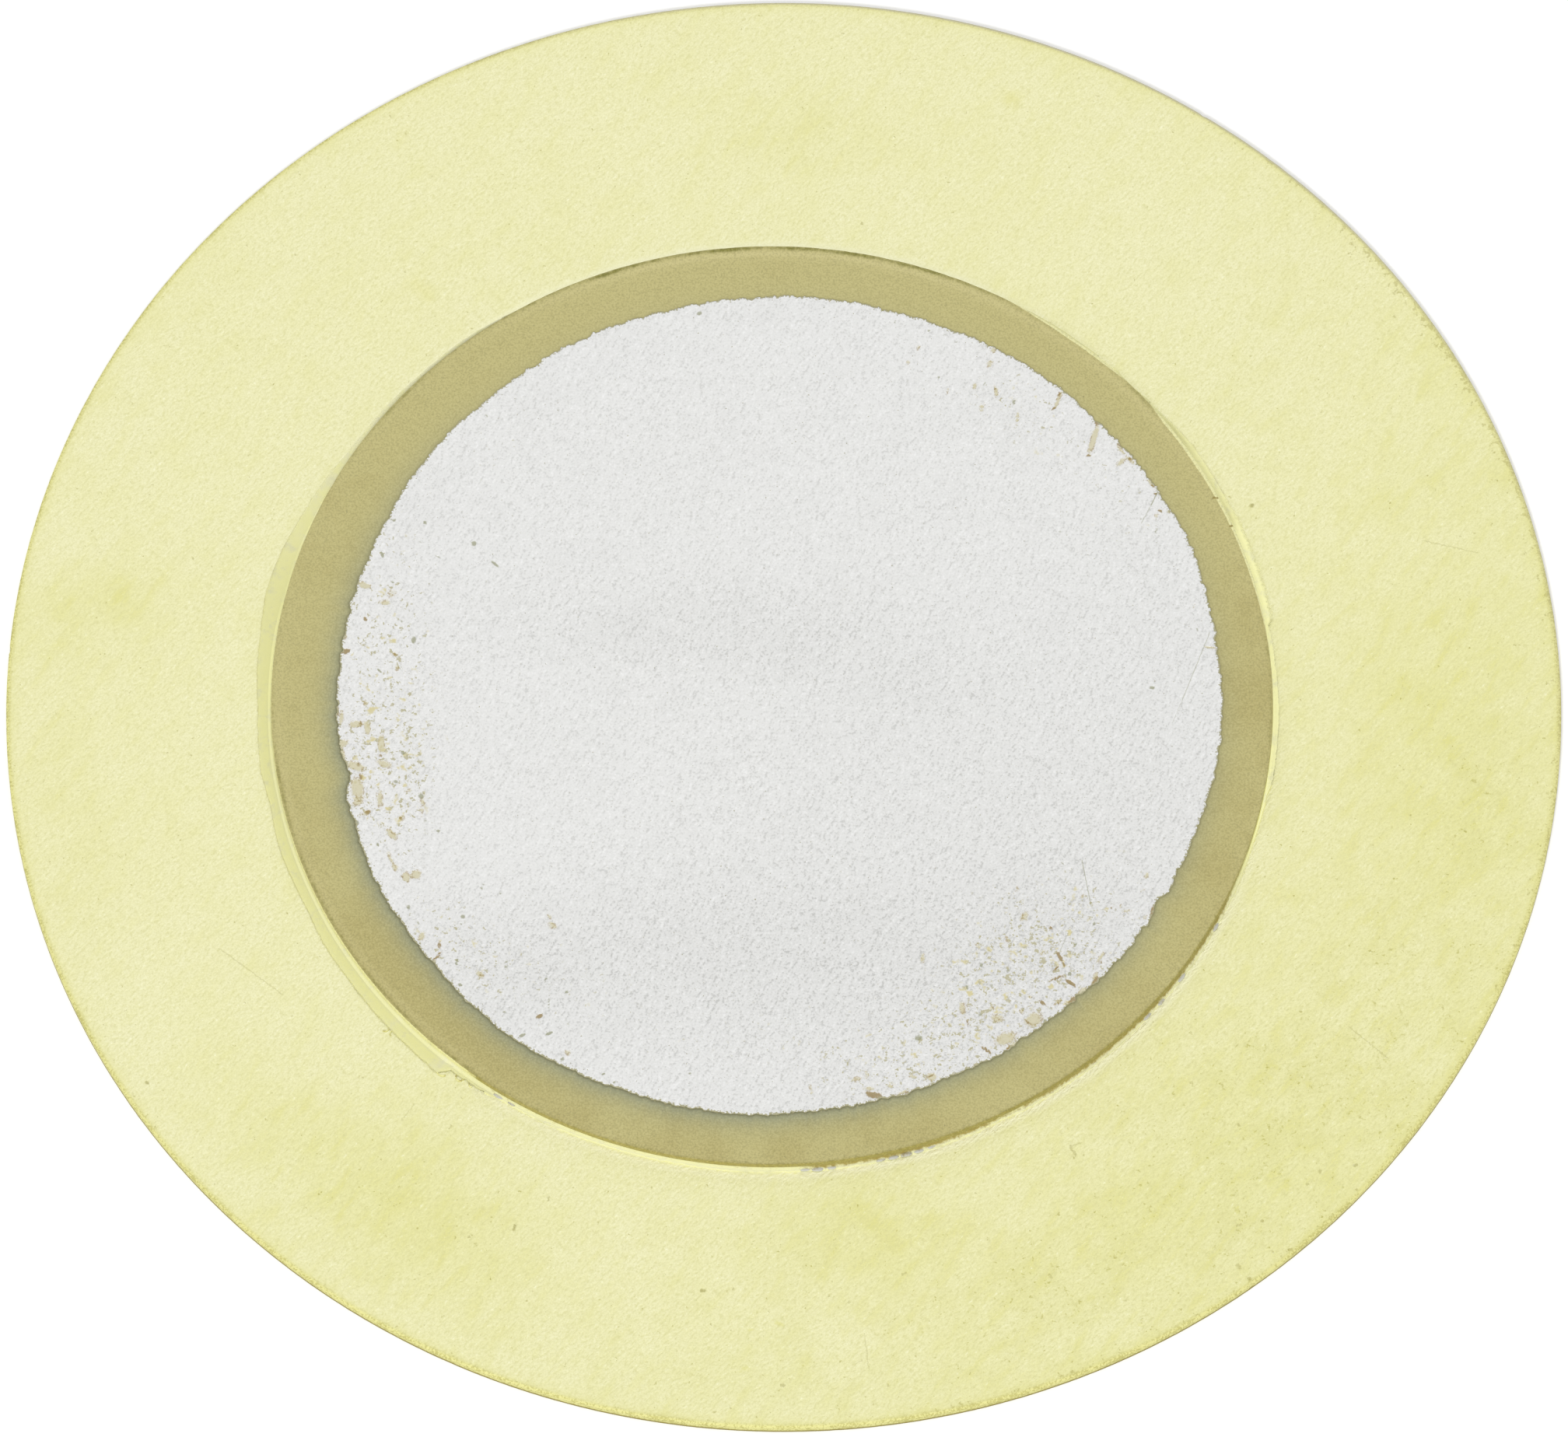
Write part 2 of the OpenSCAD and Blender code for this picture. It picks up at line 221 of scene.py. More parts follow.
# Grey and green-grey scuffs and scratches on the silver
SCUFF_FLECKS = listed(
    Fleck,
    (26.2, 3.8, 0.12, 0.016, 50, 0.6), (2.3, 3.37, 0.11, 0.022, 35, 0.9), (10.6, 3.84, 0.05, 0.02, 30, 0.6),
    (11.9, 3.83, 0.03, 0.03, 0, 0.6), (43.2, 3.46, 0.05, 0.03, 0, 0.5), (6.5, 2.91, 0.07, 0.03, 0, 0.6),
    (100.5, 3.9, 0.06, 0.05, 0, 0.7), (133.0, 3.86, 0.04, 0.05, 0, 0.6), (43.3, 3.14, 0.04, 0.03, 0, 0.5),
    (33.4, 3.05, 0.05, 0.025, 0, 0.5), (152.7, 3.9, 0.05, 0.03, 20, 0.8),
    (157.9, 3.85, 0.08, 0.03, -40, 0.9), (151.0, 3.64, 0.05, 0.03, 0, 0.9),
    (150.3, 3.16, 0.06, 0.04, -20, 0.9), (152.0, 2.89, 0.12, 0.03, -75, 0.8),
    (155.0, 3.39, 0.06, 0.03, 90, 0.7), (154.0, 3.58, 0.04, 0.03, 90, 0.5),
    (161.3, 3.67, 0.05, 0.025, 90, 0.6), (166.7, 3.47, 0.07, 0.025, 45, 0.7),
    (169.5, 3.33, 0.09, 0.045, 0, 0.9), (166.2, 3.25, 0.05, 0.025, 30, 0.9),
    (172.3, 3.25, 0.05, 0.03, 0, 0.9), (175.1, 3.6, 0.07, 0.022, -45, 0.9),
    (188.4, 3.4, 0.07, 0.03, 0, 1.0), (186.3, 3.29, 0.04, 0.03, 0, 0.6), (192.7, 3.51, 0.07, 0.03, 30, 0.8),
    (196.2, 3.34, 0.12, 0.03, 22, 0.8), (200.9, 3.39, 0.14, 0.025, 20, 0.7),
    (202.3, 3.29, 0.11, 0.022, 35, 0.7), (201.3, 3.85, 0.05, 0.03, 0, 0.7),
    (197.4, 3.96, 0.05, 0.04, 0, 1.0), (211.2, 3.87, 0.07, 0.04, 40, 0.7),
    (213.9, 3.88, 0.04, 0.03, 40, 0.6), (221.5, 3.84, 0.11, 0.024, 50, 0.9),
    (224.2, 3.97, 0.04, 0.04, 0, 1.0), (216.6, 3.52, 0.06, 0.03, 0, 0.7), (217.4, 3.57, 0.03, 0.03, 0, 0.7),
    (224.0, 3.53, 0.06, 0.05, 30, 0.6), (226.5, 3.54, 0.14, 0.03, 50, 0.7),
    (234.9, 3.98, 0.07, 0.035, -60, 1.0), (231.1, 3.9, 0.035, 0.03, 0, 0.8),
    (235.0, 3.57, 0.2, 0.024, 60, 0.6), (237.7, 3.83, 0.09, 0.03, -50, 0.9),
    (241.1, 3.98, 0.07, 0.025, 90, 1.0), (232.6, 3.42, 0.09, 0.03, 80, 0.6),
    (236.3, 3.41, 0.07, 0.03, -50, 0.7), (233.7, 3.36, 0.03, 0.03, 0, 0.8),
    (246.7, 3.95, 0.04, 0.03, 0, 0.9), (248.5, 3.99, 0.03, 0.03, 0, 0.9),
    (214.3, 3.21, 0.08, 0.04, 30, 0.7), (233.7, 2.88, 0.05, 0.03, 0, 0.8),
    (217.0, 3.11, 0.035, 0.03, 0, 0.7), (257.8, 3.71, 0.03, 0.03, 0, 0.7),
    (283.4, 3.97, 0.06, 0.03, -30, 1.0), (284.3, 3.82, 0.06, 0.025, 0, 0.6),
    (291.0, 3.51, 0.1, 0.06, 0, 0.75), (307.5, 3.93, 0.04, 0.035, 0, 1.0),
    (300.7, 3.55, 0.05, 0.035, 40, 0.7), (304.6, 3.36, 0.04, 0.035, 0, 1.0),
    (308.2, 3.34, 0.05, 0.03, 0, 0.6), (301.3, 3.26, 0.04, 0.03, 80, 0.9),
    (306.0, 3.54, 0.045, 0.03, 0, 0.8), (305.3, 3.15, 0.05, 0.03, 0, 0.7),
    (317.0, 2.84, 0.1, 0.04, -30, 0.5), (314.5, 3.73, 0.05, 0.04, 0, 0.9),
    (318.3, 3.57, 0.04, 0.025, 0, 0.8), (322.6, 3.57, 0.05, 0.035, -40, 0.7),
    (319.3, 3.72, 0.03, 0.03, 0, 0.7), (322.7, 3.45, 0.06, 0.06, 0, 0.35),
    (326.5, 3.95, 0.06, 0.03, 0, 0.5), (324.3, 3.92, 0.03, 0.05, 80, 0.7),
    (328.2, 3.0, 0.035, 0.03, 0, 0.7), (320.3, 3.18, 0.06, 0.025, 0, 0.6), (311.9, 3.97, 0.1, 0.02, 0, 0.9),
    (299.4, 4.0, 0.08, 0.02, -30, 0.6), (273.4, 3.21, 0.05, 0.03, 60, 0.5),
    (54.2, 3.65, 0.09, 0.03, 59, 0.9), (69.6, 3.91, 0.04, 0.03, -76, 0.6), (74.2, 3.9, 0.04, 0.03, 74, 0.6),
    (67.4, 3.93, 0.03, 0.03, 47, 0.5), (65.6, 3.9, 0.04, 0.03, -89, 0.6), (59.2, 3.91, 0.04, 0.03, 78, 0.6),
    (59.3, 3.66, 0.09, 0.02, 71, 0.6), (62.1, 3.44, 0.04, 0.03, 88, 0.5),
    (65.6, 3.52, 0.035, 0.03, 41, 0.6), (44.1, 3.69, 0.1, 0.015, 59, 0.5),
)
# Regions of the silver where small flecks crowd, about its centre
RUBBED_PATCHES = listed(
    Patch,
    (-3.55, 0.7, 0.55, 1.5, 0, 0.75), (-3.5, -0.6, 0.6, 1.2, 0, 1.0), (-2.9, -2.3, 0.9, 0.5, -45, 0.65),
    (2.2, -2.6, 1.5, 0.9, 40, 1.0), (1.2, -3.5, 1.0, 0.45, 15, 0.85), (2.2, 2.9, 0.8, 0.5, -45, 0.6),
    (-1.9, -2.8, 1.2, 0.7, -20, 0.45), (3.1, 2.0, 0.5, 0.9, 25, 0.45), (0.0, -3.3, 1.3, 0.5, 0, 0.45),
    (-2.6, 2.5, 0.9, 0.4, 45, 0.4),
)
# Broad greyer regions of the silver, about its centre
HAZE_PATCHES = listed(
    Patch,
    (2.2, -2.2, 5.0, 3.0, 40, 0.5), (-0.7, 0.75, 2.0, 0.45, 0, 0.55), (0.9, 0.3, 1.6, 0.5, -10, 0.4),
    (0.0, -2.5, 3.0, 0.85, 0, 0.8), (-2.4, -2.7, 0.9, 0.6, -30, 0.5), (2.3, -2.4, 1.1, 0.8, 30, 0.7),
)
# Fine scratches on the silver, about its centre
SILVER_MARKS = listed(
    Mark,
    (3.89, 0.68, 3.64, 0.02, 0.004, 0.4), (3.64, 0.02, 3.55, -0.2, 0.003, 0.25),
    (3.43, 2.07, 3.37, 1.94, 0.006, 0.6), (3.37, 1.94, 3.28, 1.76, 0.004, 0.35),
    (2.81, -2.0, 2.73, -1.55, 0.004, 0.5), (2.52, -2.46, 2.59, -2.29, 0.004, 0.35),
)
# Yellower regions of the brass, about the plate's centre
MELLOW_PATCHES = listed(
    Patch,
    (5.5, -5.0, 9.0, 5.5, 45, 0.38), (6.2, 1.5, 1.6, 5.0, 0, 0.3), (-6.15, 1.0, 0.9, 0.45, 10, 0.5),
    (-6.5, -0.6, 0.4, 1.6, 5, 0.3), (-3.4, -4.9, 1.5, 0.9, -30, 0.6), (-4.6, -4.0, 0.9, 0.7, -45, 0.3),
    (6.05, -0.6, 0.65, 1.4, 0, 0.55), (5.6, 0.3, 0.6, 0.6, 0, 0.25), (0.2, 5.64, 0.9, 0.5, 0, 0.3),
    (0.8, -5.15, 1.1, 0.6, 0, 0.45), (4.4, -4.0, 1.8, 1.2, 40, 0.28), (2.9, -5.3, 1.4, 0.6, 25, 0.3),
)
# Regions of the brass with olive mottling and specks, about the plate's centre
SOILED_PATCHES = listed(
    Patch,
    (5.0, -4.5, 7.0, 4.0, 45, 0.4), (-0.2, -6.2, 2.6, 1.0, 0, 0.25), (4.4, 3.6, 1.3, 1.3, 0, 0.18),
    (6.3, -0.9, 0.5, 0.8, 0, 0.7), (-3.4, -4.9, 1.4, 0.8, -25, 0.4), (4.4, -4.0, 1.9, 1.1, 42, 0.7),
    (2.6, -5.6, 1.6, 0.6, 20, 0.6), (0.3, -5.2, 1.2, 0.5, 0, 0.4), (5.6, -2.6, 0.8, 1.2, -20, 0.5),
    (0.3, 5.7, 0.9, 0.4, 0, 0.2), (-6.4, -1.5, 0.4, 1.5, 10, 0.2),
)
# Dark specks, hairs and scratches on the brass, about the plate's centre
BRASS_MARKS = listed(
    Mark,
    (-5.06, -2.36, -4.49, -2.81, 0.006, 0.35), (5.06, -3.12, 5.41, -3.43, 0.006, 0.45),
    (5.77, 1.64, 6.26, 1.52, 0.005, 0.4), (2.56, -4.28, 2.61, -4.37, 0.012, 0.6),
    (2.56, -4.28, 2.66, -4.25, 0.006, 0.4), (4.22, 1.98, 4.23, 1.99, 0.017, 0.9),
    (0.71, 4.79, 0.71, 4.78, 0.012, 0.6), (-0.73, -5.68, -0.71, -5.68, 0.018, 0.9),
    (-0.65, -6.0, -0.65, -6.0, 0.013, 0.7), (-0.45, -5.66, -0.45, -5.67, 0.011, 0.6),
    (0.4, -5.73, 0.4, -5.73, 0.011, 0.6), (0.58, -5.79, 0.58, -5.79, 0.01, 0.5),
    (-0.02, -6.59, 0.0, -6.59, 0.014, 0.6), (0.93, -6.58, 0.93, -6.59, 0.012, 0.5),
    (0.72, -6.09, 0.76, -6.44, 0.005, 0.35), (0.62, -6.39, 0.7, -6.35, 0.005, 0.3),
    (-2.41, -5.09, -2.4, -5.05, 0.015, 0.8), (-2.81, -5.16, -2.81, -5.16, 0.011, 0.6),
    (-2.1, -4.78, -2.1, -4.8, 0.011, 0.6), (-2.99, -4.11, -2.97, -4.08, 0.009, 0.5),
    (-3.3, -3.87, -3.42, -4.03, 0.006, 0.3), (4.07, -4.07, 4.08, -4.08, 0.013, 0.6),
    (4.27, -5.0, 4.27, -5.01, 0.012, 0.6), (4.79, -4.52, 4.79, -4.53, 0.015, 0.6),
    (5.1, -4.47, 5.12, -4.46, 0.014, 0.7), (4.68, -4.65, 4.68, -4.65, 0.013, 0.5),
    (4.05, -5.05, 4.08, -5.04, 0.013, 0.5), (4.51, -5.28, 4.53, -5.28, 0.015, 0.9),
    (4.89, -5.01, 4.92, -4.99, 0.016, 0.9), (4.7, -5.18, 4.72, -5.16, 0.015, 0.9),
    (4.05, -5.43, 4.07, -5.46, 0.018, 0.5), (4.16, -5.57, 4.19, -5.6, 0.024, 0.9),
    (4.36, -5.3, 4.37, -5.31, 0.013, 0.5), (4.13, -5.66, 4.15, -5.64, 0.018, 0.8),
    (1.06, -5.52, 1.08, -5.51, 0.012, 0.6), (2.37, -5.52, 2.39, -5.55, 0.011, 0.5),
    (-5.7, -3.66, -5.69, -3.67, 0.013, 0.8), (-5.33, 1.47, -5.33, 1.46, 0.011, 0.6),
)
# Soft yellow spots on the brass
YELLOW_MARKS = listed(
    Mark,
    (2.04, 6.03, 2.08, 6.05, 0.09, 0.4), (-3.29, 4.16, -3.22, 4.08, 0.09, 0.3),
    (-0.05, -6.0, -0.03, -6.0, 0.03, 0.6), (-0.29, -6.05, -0.28, -6.05, 0.028, 0.5),
    (-0.36, -6.44, -0.33, -6.42, 0.03, 0.5), (0.93, -6.58, 0.93, -6.59, 0.025, 0.4),
    (-3.52, -4.92, -3.32, -4.81, 0.11, 0.3), (4.05, -4.89, 4.05, -4.91, 0.022, 0.6),
    (4.5, -4.61, 4.5, -4.7, 0.025, 0.5), (0.7, -4.92, 0.99, -5.22, 0.12, 0.3),
)
# Brown pin marks on the ceramic, about its centre
CERAMIC_MARKS = listed(Mark, (3.98, 2.01, 4.02, 2.01, 0.009, 0.9), (4.13, 1.73, 4.18, 1.74, 0.009, 0.9))
# Nicks in the plate's rim: direction, reach to each side in degrees, and depth in mm
RIM_NICKS = (
    (175.4, 0.22, 0.016), (306.6, 0.3, 0.02), (57.0, 0.2, 0.008), (212.6, 0.15, 0.006), (97.8, 0.2, 0.006),
)
# Notches in the silver's outline: direction, reach to each side in degrees, and depth in mm
PRINT_NOTCHES = (
    (190.0, 3.5, 0.05), (330.0, 2.6, 0.03), (313.0, 0.8, 0.02), (172.6, 0.7, 0.02), (44.0, 0.6, 0.02),
)

# How the adhesive smears widen around the ceramic: a direction, and its share of the widest there
LEFT_SMEAR = (
    (118, 0), (125, 0.24), (147, 0.32), (152, 0.5), (160, 0.84), (166, 1), (172, 0.76), (180, 0.6),
    (188, 0.66), (192, 0.47), (197, 0.58), (206, 0.53), (210, 0.66), (222, 0.68), (230, 0.8), (231, 0.24),
    (235, 0.18), (237, 0),
)
RIGHT_SMEAR = (
    (-11, 0), (-9, 0.33), (10, 0.33), (11, 0.95), (23, 1), (26, 0.8), (34, 0.76), (41, 0.24), (44, 0),
    (48, 0.28), (56, 0.24), (65, 0),
)
# Waves of the adhesive's ragged edge: how many go round, and the turn of each in degrees
LIP_WAVES = ((9, 20), (16, 75), (31, 0))
# How olive the adhesive is in the corner against the ceramic, by direction
CORNER_BY_ANGLE = (
    (0, 0), (22, 0), (24, 0.2), (27, 0.05), (33, 0.05), (36, 0.2), (40, 0.2), (42.5, 0.8), (45, 0.2),
    (50, 0.1), (118, 0.1), (150, 0), (232, 0.05), (236, 0.35), (262, 0.2), (272, 0.3), (276, 0.9),
    (294, 0.9), (298, 0.6), (303, 0.8), (333, 0.9), (340, 0.2), (360, 0),
)
# How shaded it is close behind the ceramic, by direction
GLOOM_BY_ANGLE = (
    (0, 0), (40, 0), (42.5, 0.5), (45, 0), (58, 0.1), (66, 0.6), (112, 0.6), (122, 0.2), (130, 0), (360, 0),
)
# How pale, glossy and yellow its film is, by direction
YELLOW_BY_ANGLE = (
    (0, 0.75), (4, 0.6), (9.5, 0.6), (11, 1), (22, 1), (25, 0.4), (34, 0.1), (48, 0.1), (60, 0.3),
    (120, 0.4), (150, 0.35), (185, 0.05), (228, 0.2), (236, 0.15), (272, 0.15), (280, 0.25), (340, 0.3),
    (350, 0.65), (360, 0.75),
)
# How strongly painted light brightens the clear film, which is made metallic there, by direction
BRIGHT_BY_ANGLE = (
    (0, 1), (22, 1), (24, 0.5), (27, 0.8), (33, 0.8), (36, 0.5), (40, 0.5), (44, 0.9), (48, 1), (60, 0.5),
    (72, 0), (135, 0), (145, 0.3), (158, 0.3), (166, 0), (338, 0), (345, 0.9), (360, 1),
)
# How olive its outer border is, by direction
BORDER_BY_ANGLE = (
    (0, 0.3), (22, 0.1), (26, 1.3), (38, 1.3), (44, 0.9), (60, 0.3), (140, 0.3), (160, 0.55), (231, 0.6),
    (240, 0.2), (340, 0.1), (360, 0.3),
)
# How softly in mm the film thins out at its outer edge, by direction
SOFT_BY_ANGLE = (
    (0, 0.02), (9, 0.025), (11, 0.09), (22, 0.09), (27, 0.05), (40, 0.035), (60, 0.02), (360, 0.02),
)
# How much its lip looks like the brass around it, by direction
DULL_BY_ANGLE = (
    (0, 0), (60, 0), (75, 0.5), (115, 0.5), (140, 0.2), (150, 0), (178, 0.05), (190, 0.22), (232, 0.22),
    (238, 0.3), (272, 0.32), (278, 0.35), (334, 0.3), (342, 0.05), (360, 0),
)
# How whitish it is, by direction: a painted reflection from 112 to 162 degrees, whitish flakes near 223 and
# 230
SHEEN_AND_FLAKES_BY_ANGLE = (
    (0, 0), (112, 0), (121, 0.6), (129, 0.8), (148, 0.6), (158, 0.3), (162, 0), (221, 0), (222.5, 0.6),
    (224, 0), (228.5, 0), (229.6, 0.6), (232, 0.2), (234, 0), (360, 0),
)
# How crumbly its outline is, by direction
CRUMBS_BY_ANGLE = (
    (0, 0.1), (40, 0.1), (60, 0), (120, 0), (228, 0.1), (232, 0.8), (240, 0.8), (245, 0.5), (334, 0.9),
    (340, 0.1), (360, 0.1),
)
# Width in mm of the pale margin that adhesive leaves on the ceramic's edge, by direction
MARGIN_BY_ANGLE = (
    (0, 0), (6, 0.003), (10, 0.008), (16, 0.022), (24, 0.026), (32, 0.034), (38, 0.028), (40.8, 0), (44, 0),
    (48, 0.024), (54, 0.03), (58, 0.02), (62, 0), (150, 0), (158, 0.004), (231, 0.004), (234, 0), (360, 0),
)
# Strength of the dark line along the ceramic's edge, by direction
# From 60 to 150 degrees, on the ceramic's far side, this line is painted shadow; elsewhere a dark olive line
LINE_BY_ANGLE = (
    (0, 0.3), (6, 0.28), (12, 0.15), (22, 0.12), (30, 0), (39, 0.05), (41.5, 0.5), (43, 0.5), (45, 0.1),
    (54, 0.15), (60, 0.3), (66, 0.52), (72, 0.74), (78, 0.74), (84, 0.82), (90.2, 0.85), (90.9, 0.3),
    (91.6, 0.8), (96, 0.8), (102, 0.85), (108, 0.7), (114, 0.45), (120, 0.32), (126, 0.25), (132, 0.25),
    (138, 0.45), (142, 0.35), (146, 0.2), (150, 0), (156, 0.05), (168, 0.12), (178, 0.2), (187, 0.32),
    (194, 0.4), (208, 0.42), (222, 0.42), (230, 0.4), (236, 0.28), (250, 0.25), (300, 0.25), (335, 0.25),
    (341, 0.15), (348, 0.05), (355, 0.3), (360, 0.3),
)
# How strongly adhesive colours the ceramic's side wall, by direction
WALL_BY_ANGLE = (
    (0, 0.15), (40, 0.15), (60, 0.5), (120, 0.5), (150, 0.1), (178, 0.2), (187, 0.3), (200, 0.5),
    (230, 0.6), (236, 0.75), (275, 0.85), (290, 0.9), (310, 0.9), (333, 0.8), (340, 0.3), (360, 0.15),
)
# How strongly the ceramic is lit along its upper edge, by direction
GLINT_BY_ANGLE = (
    (0, 0), (30, 0.15), (40, 0.45), (52, 0.4), (70, 0.6), (95, 0.8), (112, 0.5), (130, 0.1), (170, 0),
    (190, 0.3), (232, 0.3), (240, 0), (360, 0),
)
# How strongly painted light brightens the brass close around the ceramic, by direction
HALO_BY_ANGLE = (
    (0, 0), (55, 0), (66, 0.4), (118, 0.5), (150, 0.2), (165, 0), (230, 0.1), (238, 0.65), (268, 0.65),
    (278, 0.9), (300, 0.85), (326, 0.7), (334, 0.5), (342, 0.3), (350, 0), (360, 0),
)
# How strongly the plate's rim is tarnished, by direction
RIM_BY_ANGLE = (
    (0, 0.85), (15, 0.8), (30, 0.95), (42, 0.95), (50, 0.75), (70, 0.6), (95, 0.4), (112, 0.15),
    (125, 0.02), (145, 0.05), (160, 0.2), (180, 0.35), (235, 0.45), (262, 0.5), (280, 0.62), (300, 0.62),
    (325, 0.55), (345, 0.7), (360, 0.85),
)
# How far inwards in mm the rim's tarnish reaches, by direction
RIM_REACH_BY_ANGLE = (
    (0, 0.045), (25, 0.07), (38, 0.09), (46, 0.05), (60, 0.03), (250, 0.03), (270, 0.04), (290, 0.05),
    (318, 0.045), (345, 0.05), (360, 0.045),
)
# How strongly grey painted shade lies on the rolled edge, by direction
GREY_BY_ANGLE = (
    (0, 0.2), (30, 0.45), (45, 0.8), (70, 1), (95, 0.75), (110, 0.3), (120, 0), (340, 0), (360, 0.2),
)
# How much paler than the rest the ceramic is, by direction
LIT_BY_ANGLE = (
    (0, 0), (20, 0.1), (45, 0.5), (90, 0.2), (135, 0.2), (180, 0.15), (205, 0), (225, -0.25), (250, 0),
    (360, 0),
)
# How strongly the ceramic greys next to the silver, by direction
COOL_BY_ANGLE = (
    (0, 0.25), (60, 0.1), (130, 0.15), (160, 0.6), (185, 1), (270, 1), (300, 0.75), (335, 0.5), (360, 0.25),
)
# Beads and crumbs of adhesive squeezed out along the ceramic's edge
BEADS = listed(
    Bead,
    (237.2, 0.014, 0.1, 0.036, 0.03, 0.3), (239.0, 0.012, 0.09, 0.03, 0.026, 0.4),
    (273.8, 0.014, 0.1, 0.03, 0.026, 0.2), (275.2, 0.02, 0.11, 0.04, 0.03, 0.3),
    (276.8, 0.016, 0.09, 0.034, 0.026, 0.15), (282.4, 0.016, 0.1, 0.03, 0.026, 0.4),
    (283.9, 0.02, 0.1, 0.038, 0.03, 0.3), (285.4, 0.022, 0.11, 0.042, 0.032, 0.45),
    (286.9, 0.018, 0.1, 0.036, 0.028, 0.25), (288.4, 0.014, 0.1, 0.03, 0.024, 0.4),
    (318.0, 0.016, 0.1, 0.034, 0.026, 0.3), (320.4, 0.018, 0.09, 0.034, 0.026, 0.4),
    (324.2, 0.02, 0.11, 0.036, 0.026, 0.25), (331.5, 0.018, 0.1, 0.036, 0.026, 0.35),
)
# Curled threads of adhesive on the left
CURLS = listed(
    Curl,
    (222.0, 0.15, 0.045, 20, 190), (223.3, 0.14, 0.035, 190, 160), (230.3, 0.1, 0.05, 200, 230),
    (232.3, 0.055, 0.036, 250, 210), (233.9, 0.04, 0.03, 150, 240),
)


def paint(red, green, blue):
    """A screen colour of 0 to 255 a channel as the linear colour that a shader takes."""
    return tuple(
        c / 12.92 if c <= 0.04045 else ((c + 0.055) / 1.055) ** 2.4
        for c in (red / 255, green / 255, blue / 255)
    )


def offset(name, description, default_mm, **limits):
    """A signed length property whose default is given in millimetres."""
    return FloatProperty(name=name, description=description, default=default_mm * MM, precision=6,
                         subtype="DISTANCE", unit="LENGTH", **limits)


def length(name, description, default_mm):
    """A length property, never below 0, whose default is given in millimetres."""
    return offset(name, description, default_mm, min=0)


def colour(name, description, red, green, blue):
    """A colour property whose default is given as a screen colour."""
    return FloatVectorProperty(name=name, description=description, default=paint(red, green, blue),
                               subtype="COLOR", size=3, min=0, max=1)


class PlateSettings(bpy.types.PropertyGroup):
    """Sizes and colours of the brass plate"""

    roll_width: length("Roll width", "Width of the upper edge that the punch rolls over", 0.03)
    roll_drop: length("Roll drop", "Drop of the rolled-over upper edge", 0.015)
    steps: IntProperty(name="Steps", description="Steps around the rim", default=1080, min=90)
    pale: colour("Pale brass", "Clean brass near the ceramic", 239, 237, 196)
    # Painted light: the colour that brightens the brass close around the ceramic
    halo: colour("Bright brass", "Clean brass close around the ceramic", 255, 254, 222)
    warm: colour("Yellow brass", "Brass with a thin tarnish", 227, 225, 155)
    shade: colour("Shaded grain", "Hollows of the rolled grain", 214, 211, 150)
    olive: colour("Olive soil", "Mottling and specks", 188, 183, 100)
    yellow: colour("Yellow spots", "Thicker tarnish in spots, streaks and along the rim", 222, 218, 132)
    speck: colour("Specks", "Dark specks and hairs", 150, 142, 72)
    rim: colour("Rim tarnish", "Dark crumbs of tarnish along the rim", 160, 151, 78)
    wall: colour("Rim wall", "Rolled edge and upright wall of the rim", 228, 224, 150)
    crust: colour("Rim crust", "Crumbs of tarnish on the rolled edge and the wall", 172, 165, 80)
    # Painted shade: the dark line along the foot of the wall
    foot: colour("Rim foot", "Dark line along the foot of the wall", 146, 134, 62)
    # Painted shade: the grey on the rolled edge
    grey: colour("Rim grey", "Rolled edge where it looks grey against the floor", 203, 198, 163)


class CeramicSettings(bpy.types.PropertyGroup):
    """Sizes and colours of the ceramic disc"""

    diameter: length("Diameter", "Diameter of the ceramic", 9.02)
    centre_x: offset("Centre X", "How far it sits off the plate's centre, to the right", -0.107)
    centre_y: offset("Centre Y", "How far it sits off the plate's centre, to the back", -0.001)
    edge_break: length("Edge break", "Size of the break along the upper edge", 0.008)
    steps: IntProperty(name="Steps", description="Steps around the edge", default=1080, min=90)
    tan: colour("Tan", "Bare fired ceramic", 186, 175, 112)
    light: colour("Light tan", "Paler clouds in the ceramic", 197, 188, 126)
    glint: colour("Lit edge", "Ceramic lit along its upper edge", 214, 204, 144)
    grey: colour("Grey tan", "Ceramic greyed next to the silver", 147, 152, 127)
    dark: colour("Dark tan", "Dark line against the silver and pin specks", 108, 105, 74)
    smeared: colour("Smeared wall", "Adhesive on the ceramic's side wall", 156, 144, 68)
    # The edge line: painted shadow along the ceramic's far edge, a dark olive line elsewhere
    line: colour("Edge line", "Dark olive line along the edge", 115, 112, 16)
    margin: colour("Pale margin", "Thin adhesive wiped over the ceramic's edge", 240, 237, 176)
    pin: colour("Pin marks", "Brown pin marks near the edge", 150, 132, 60)


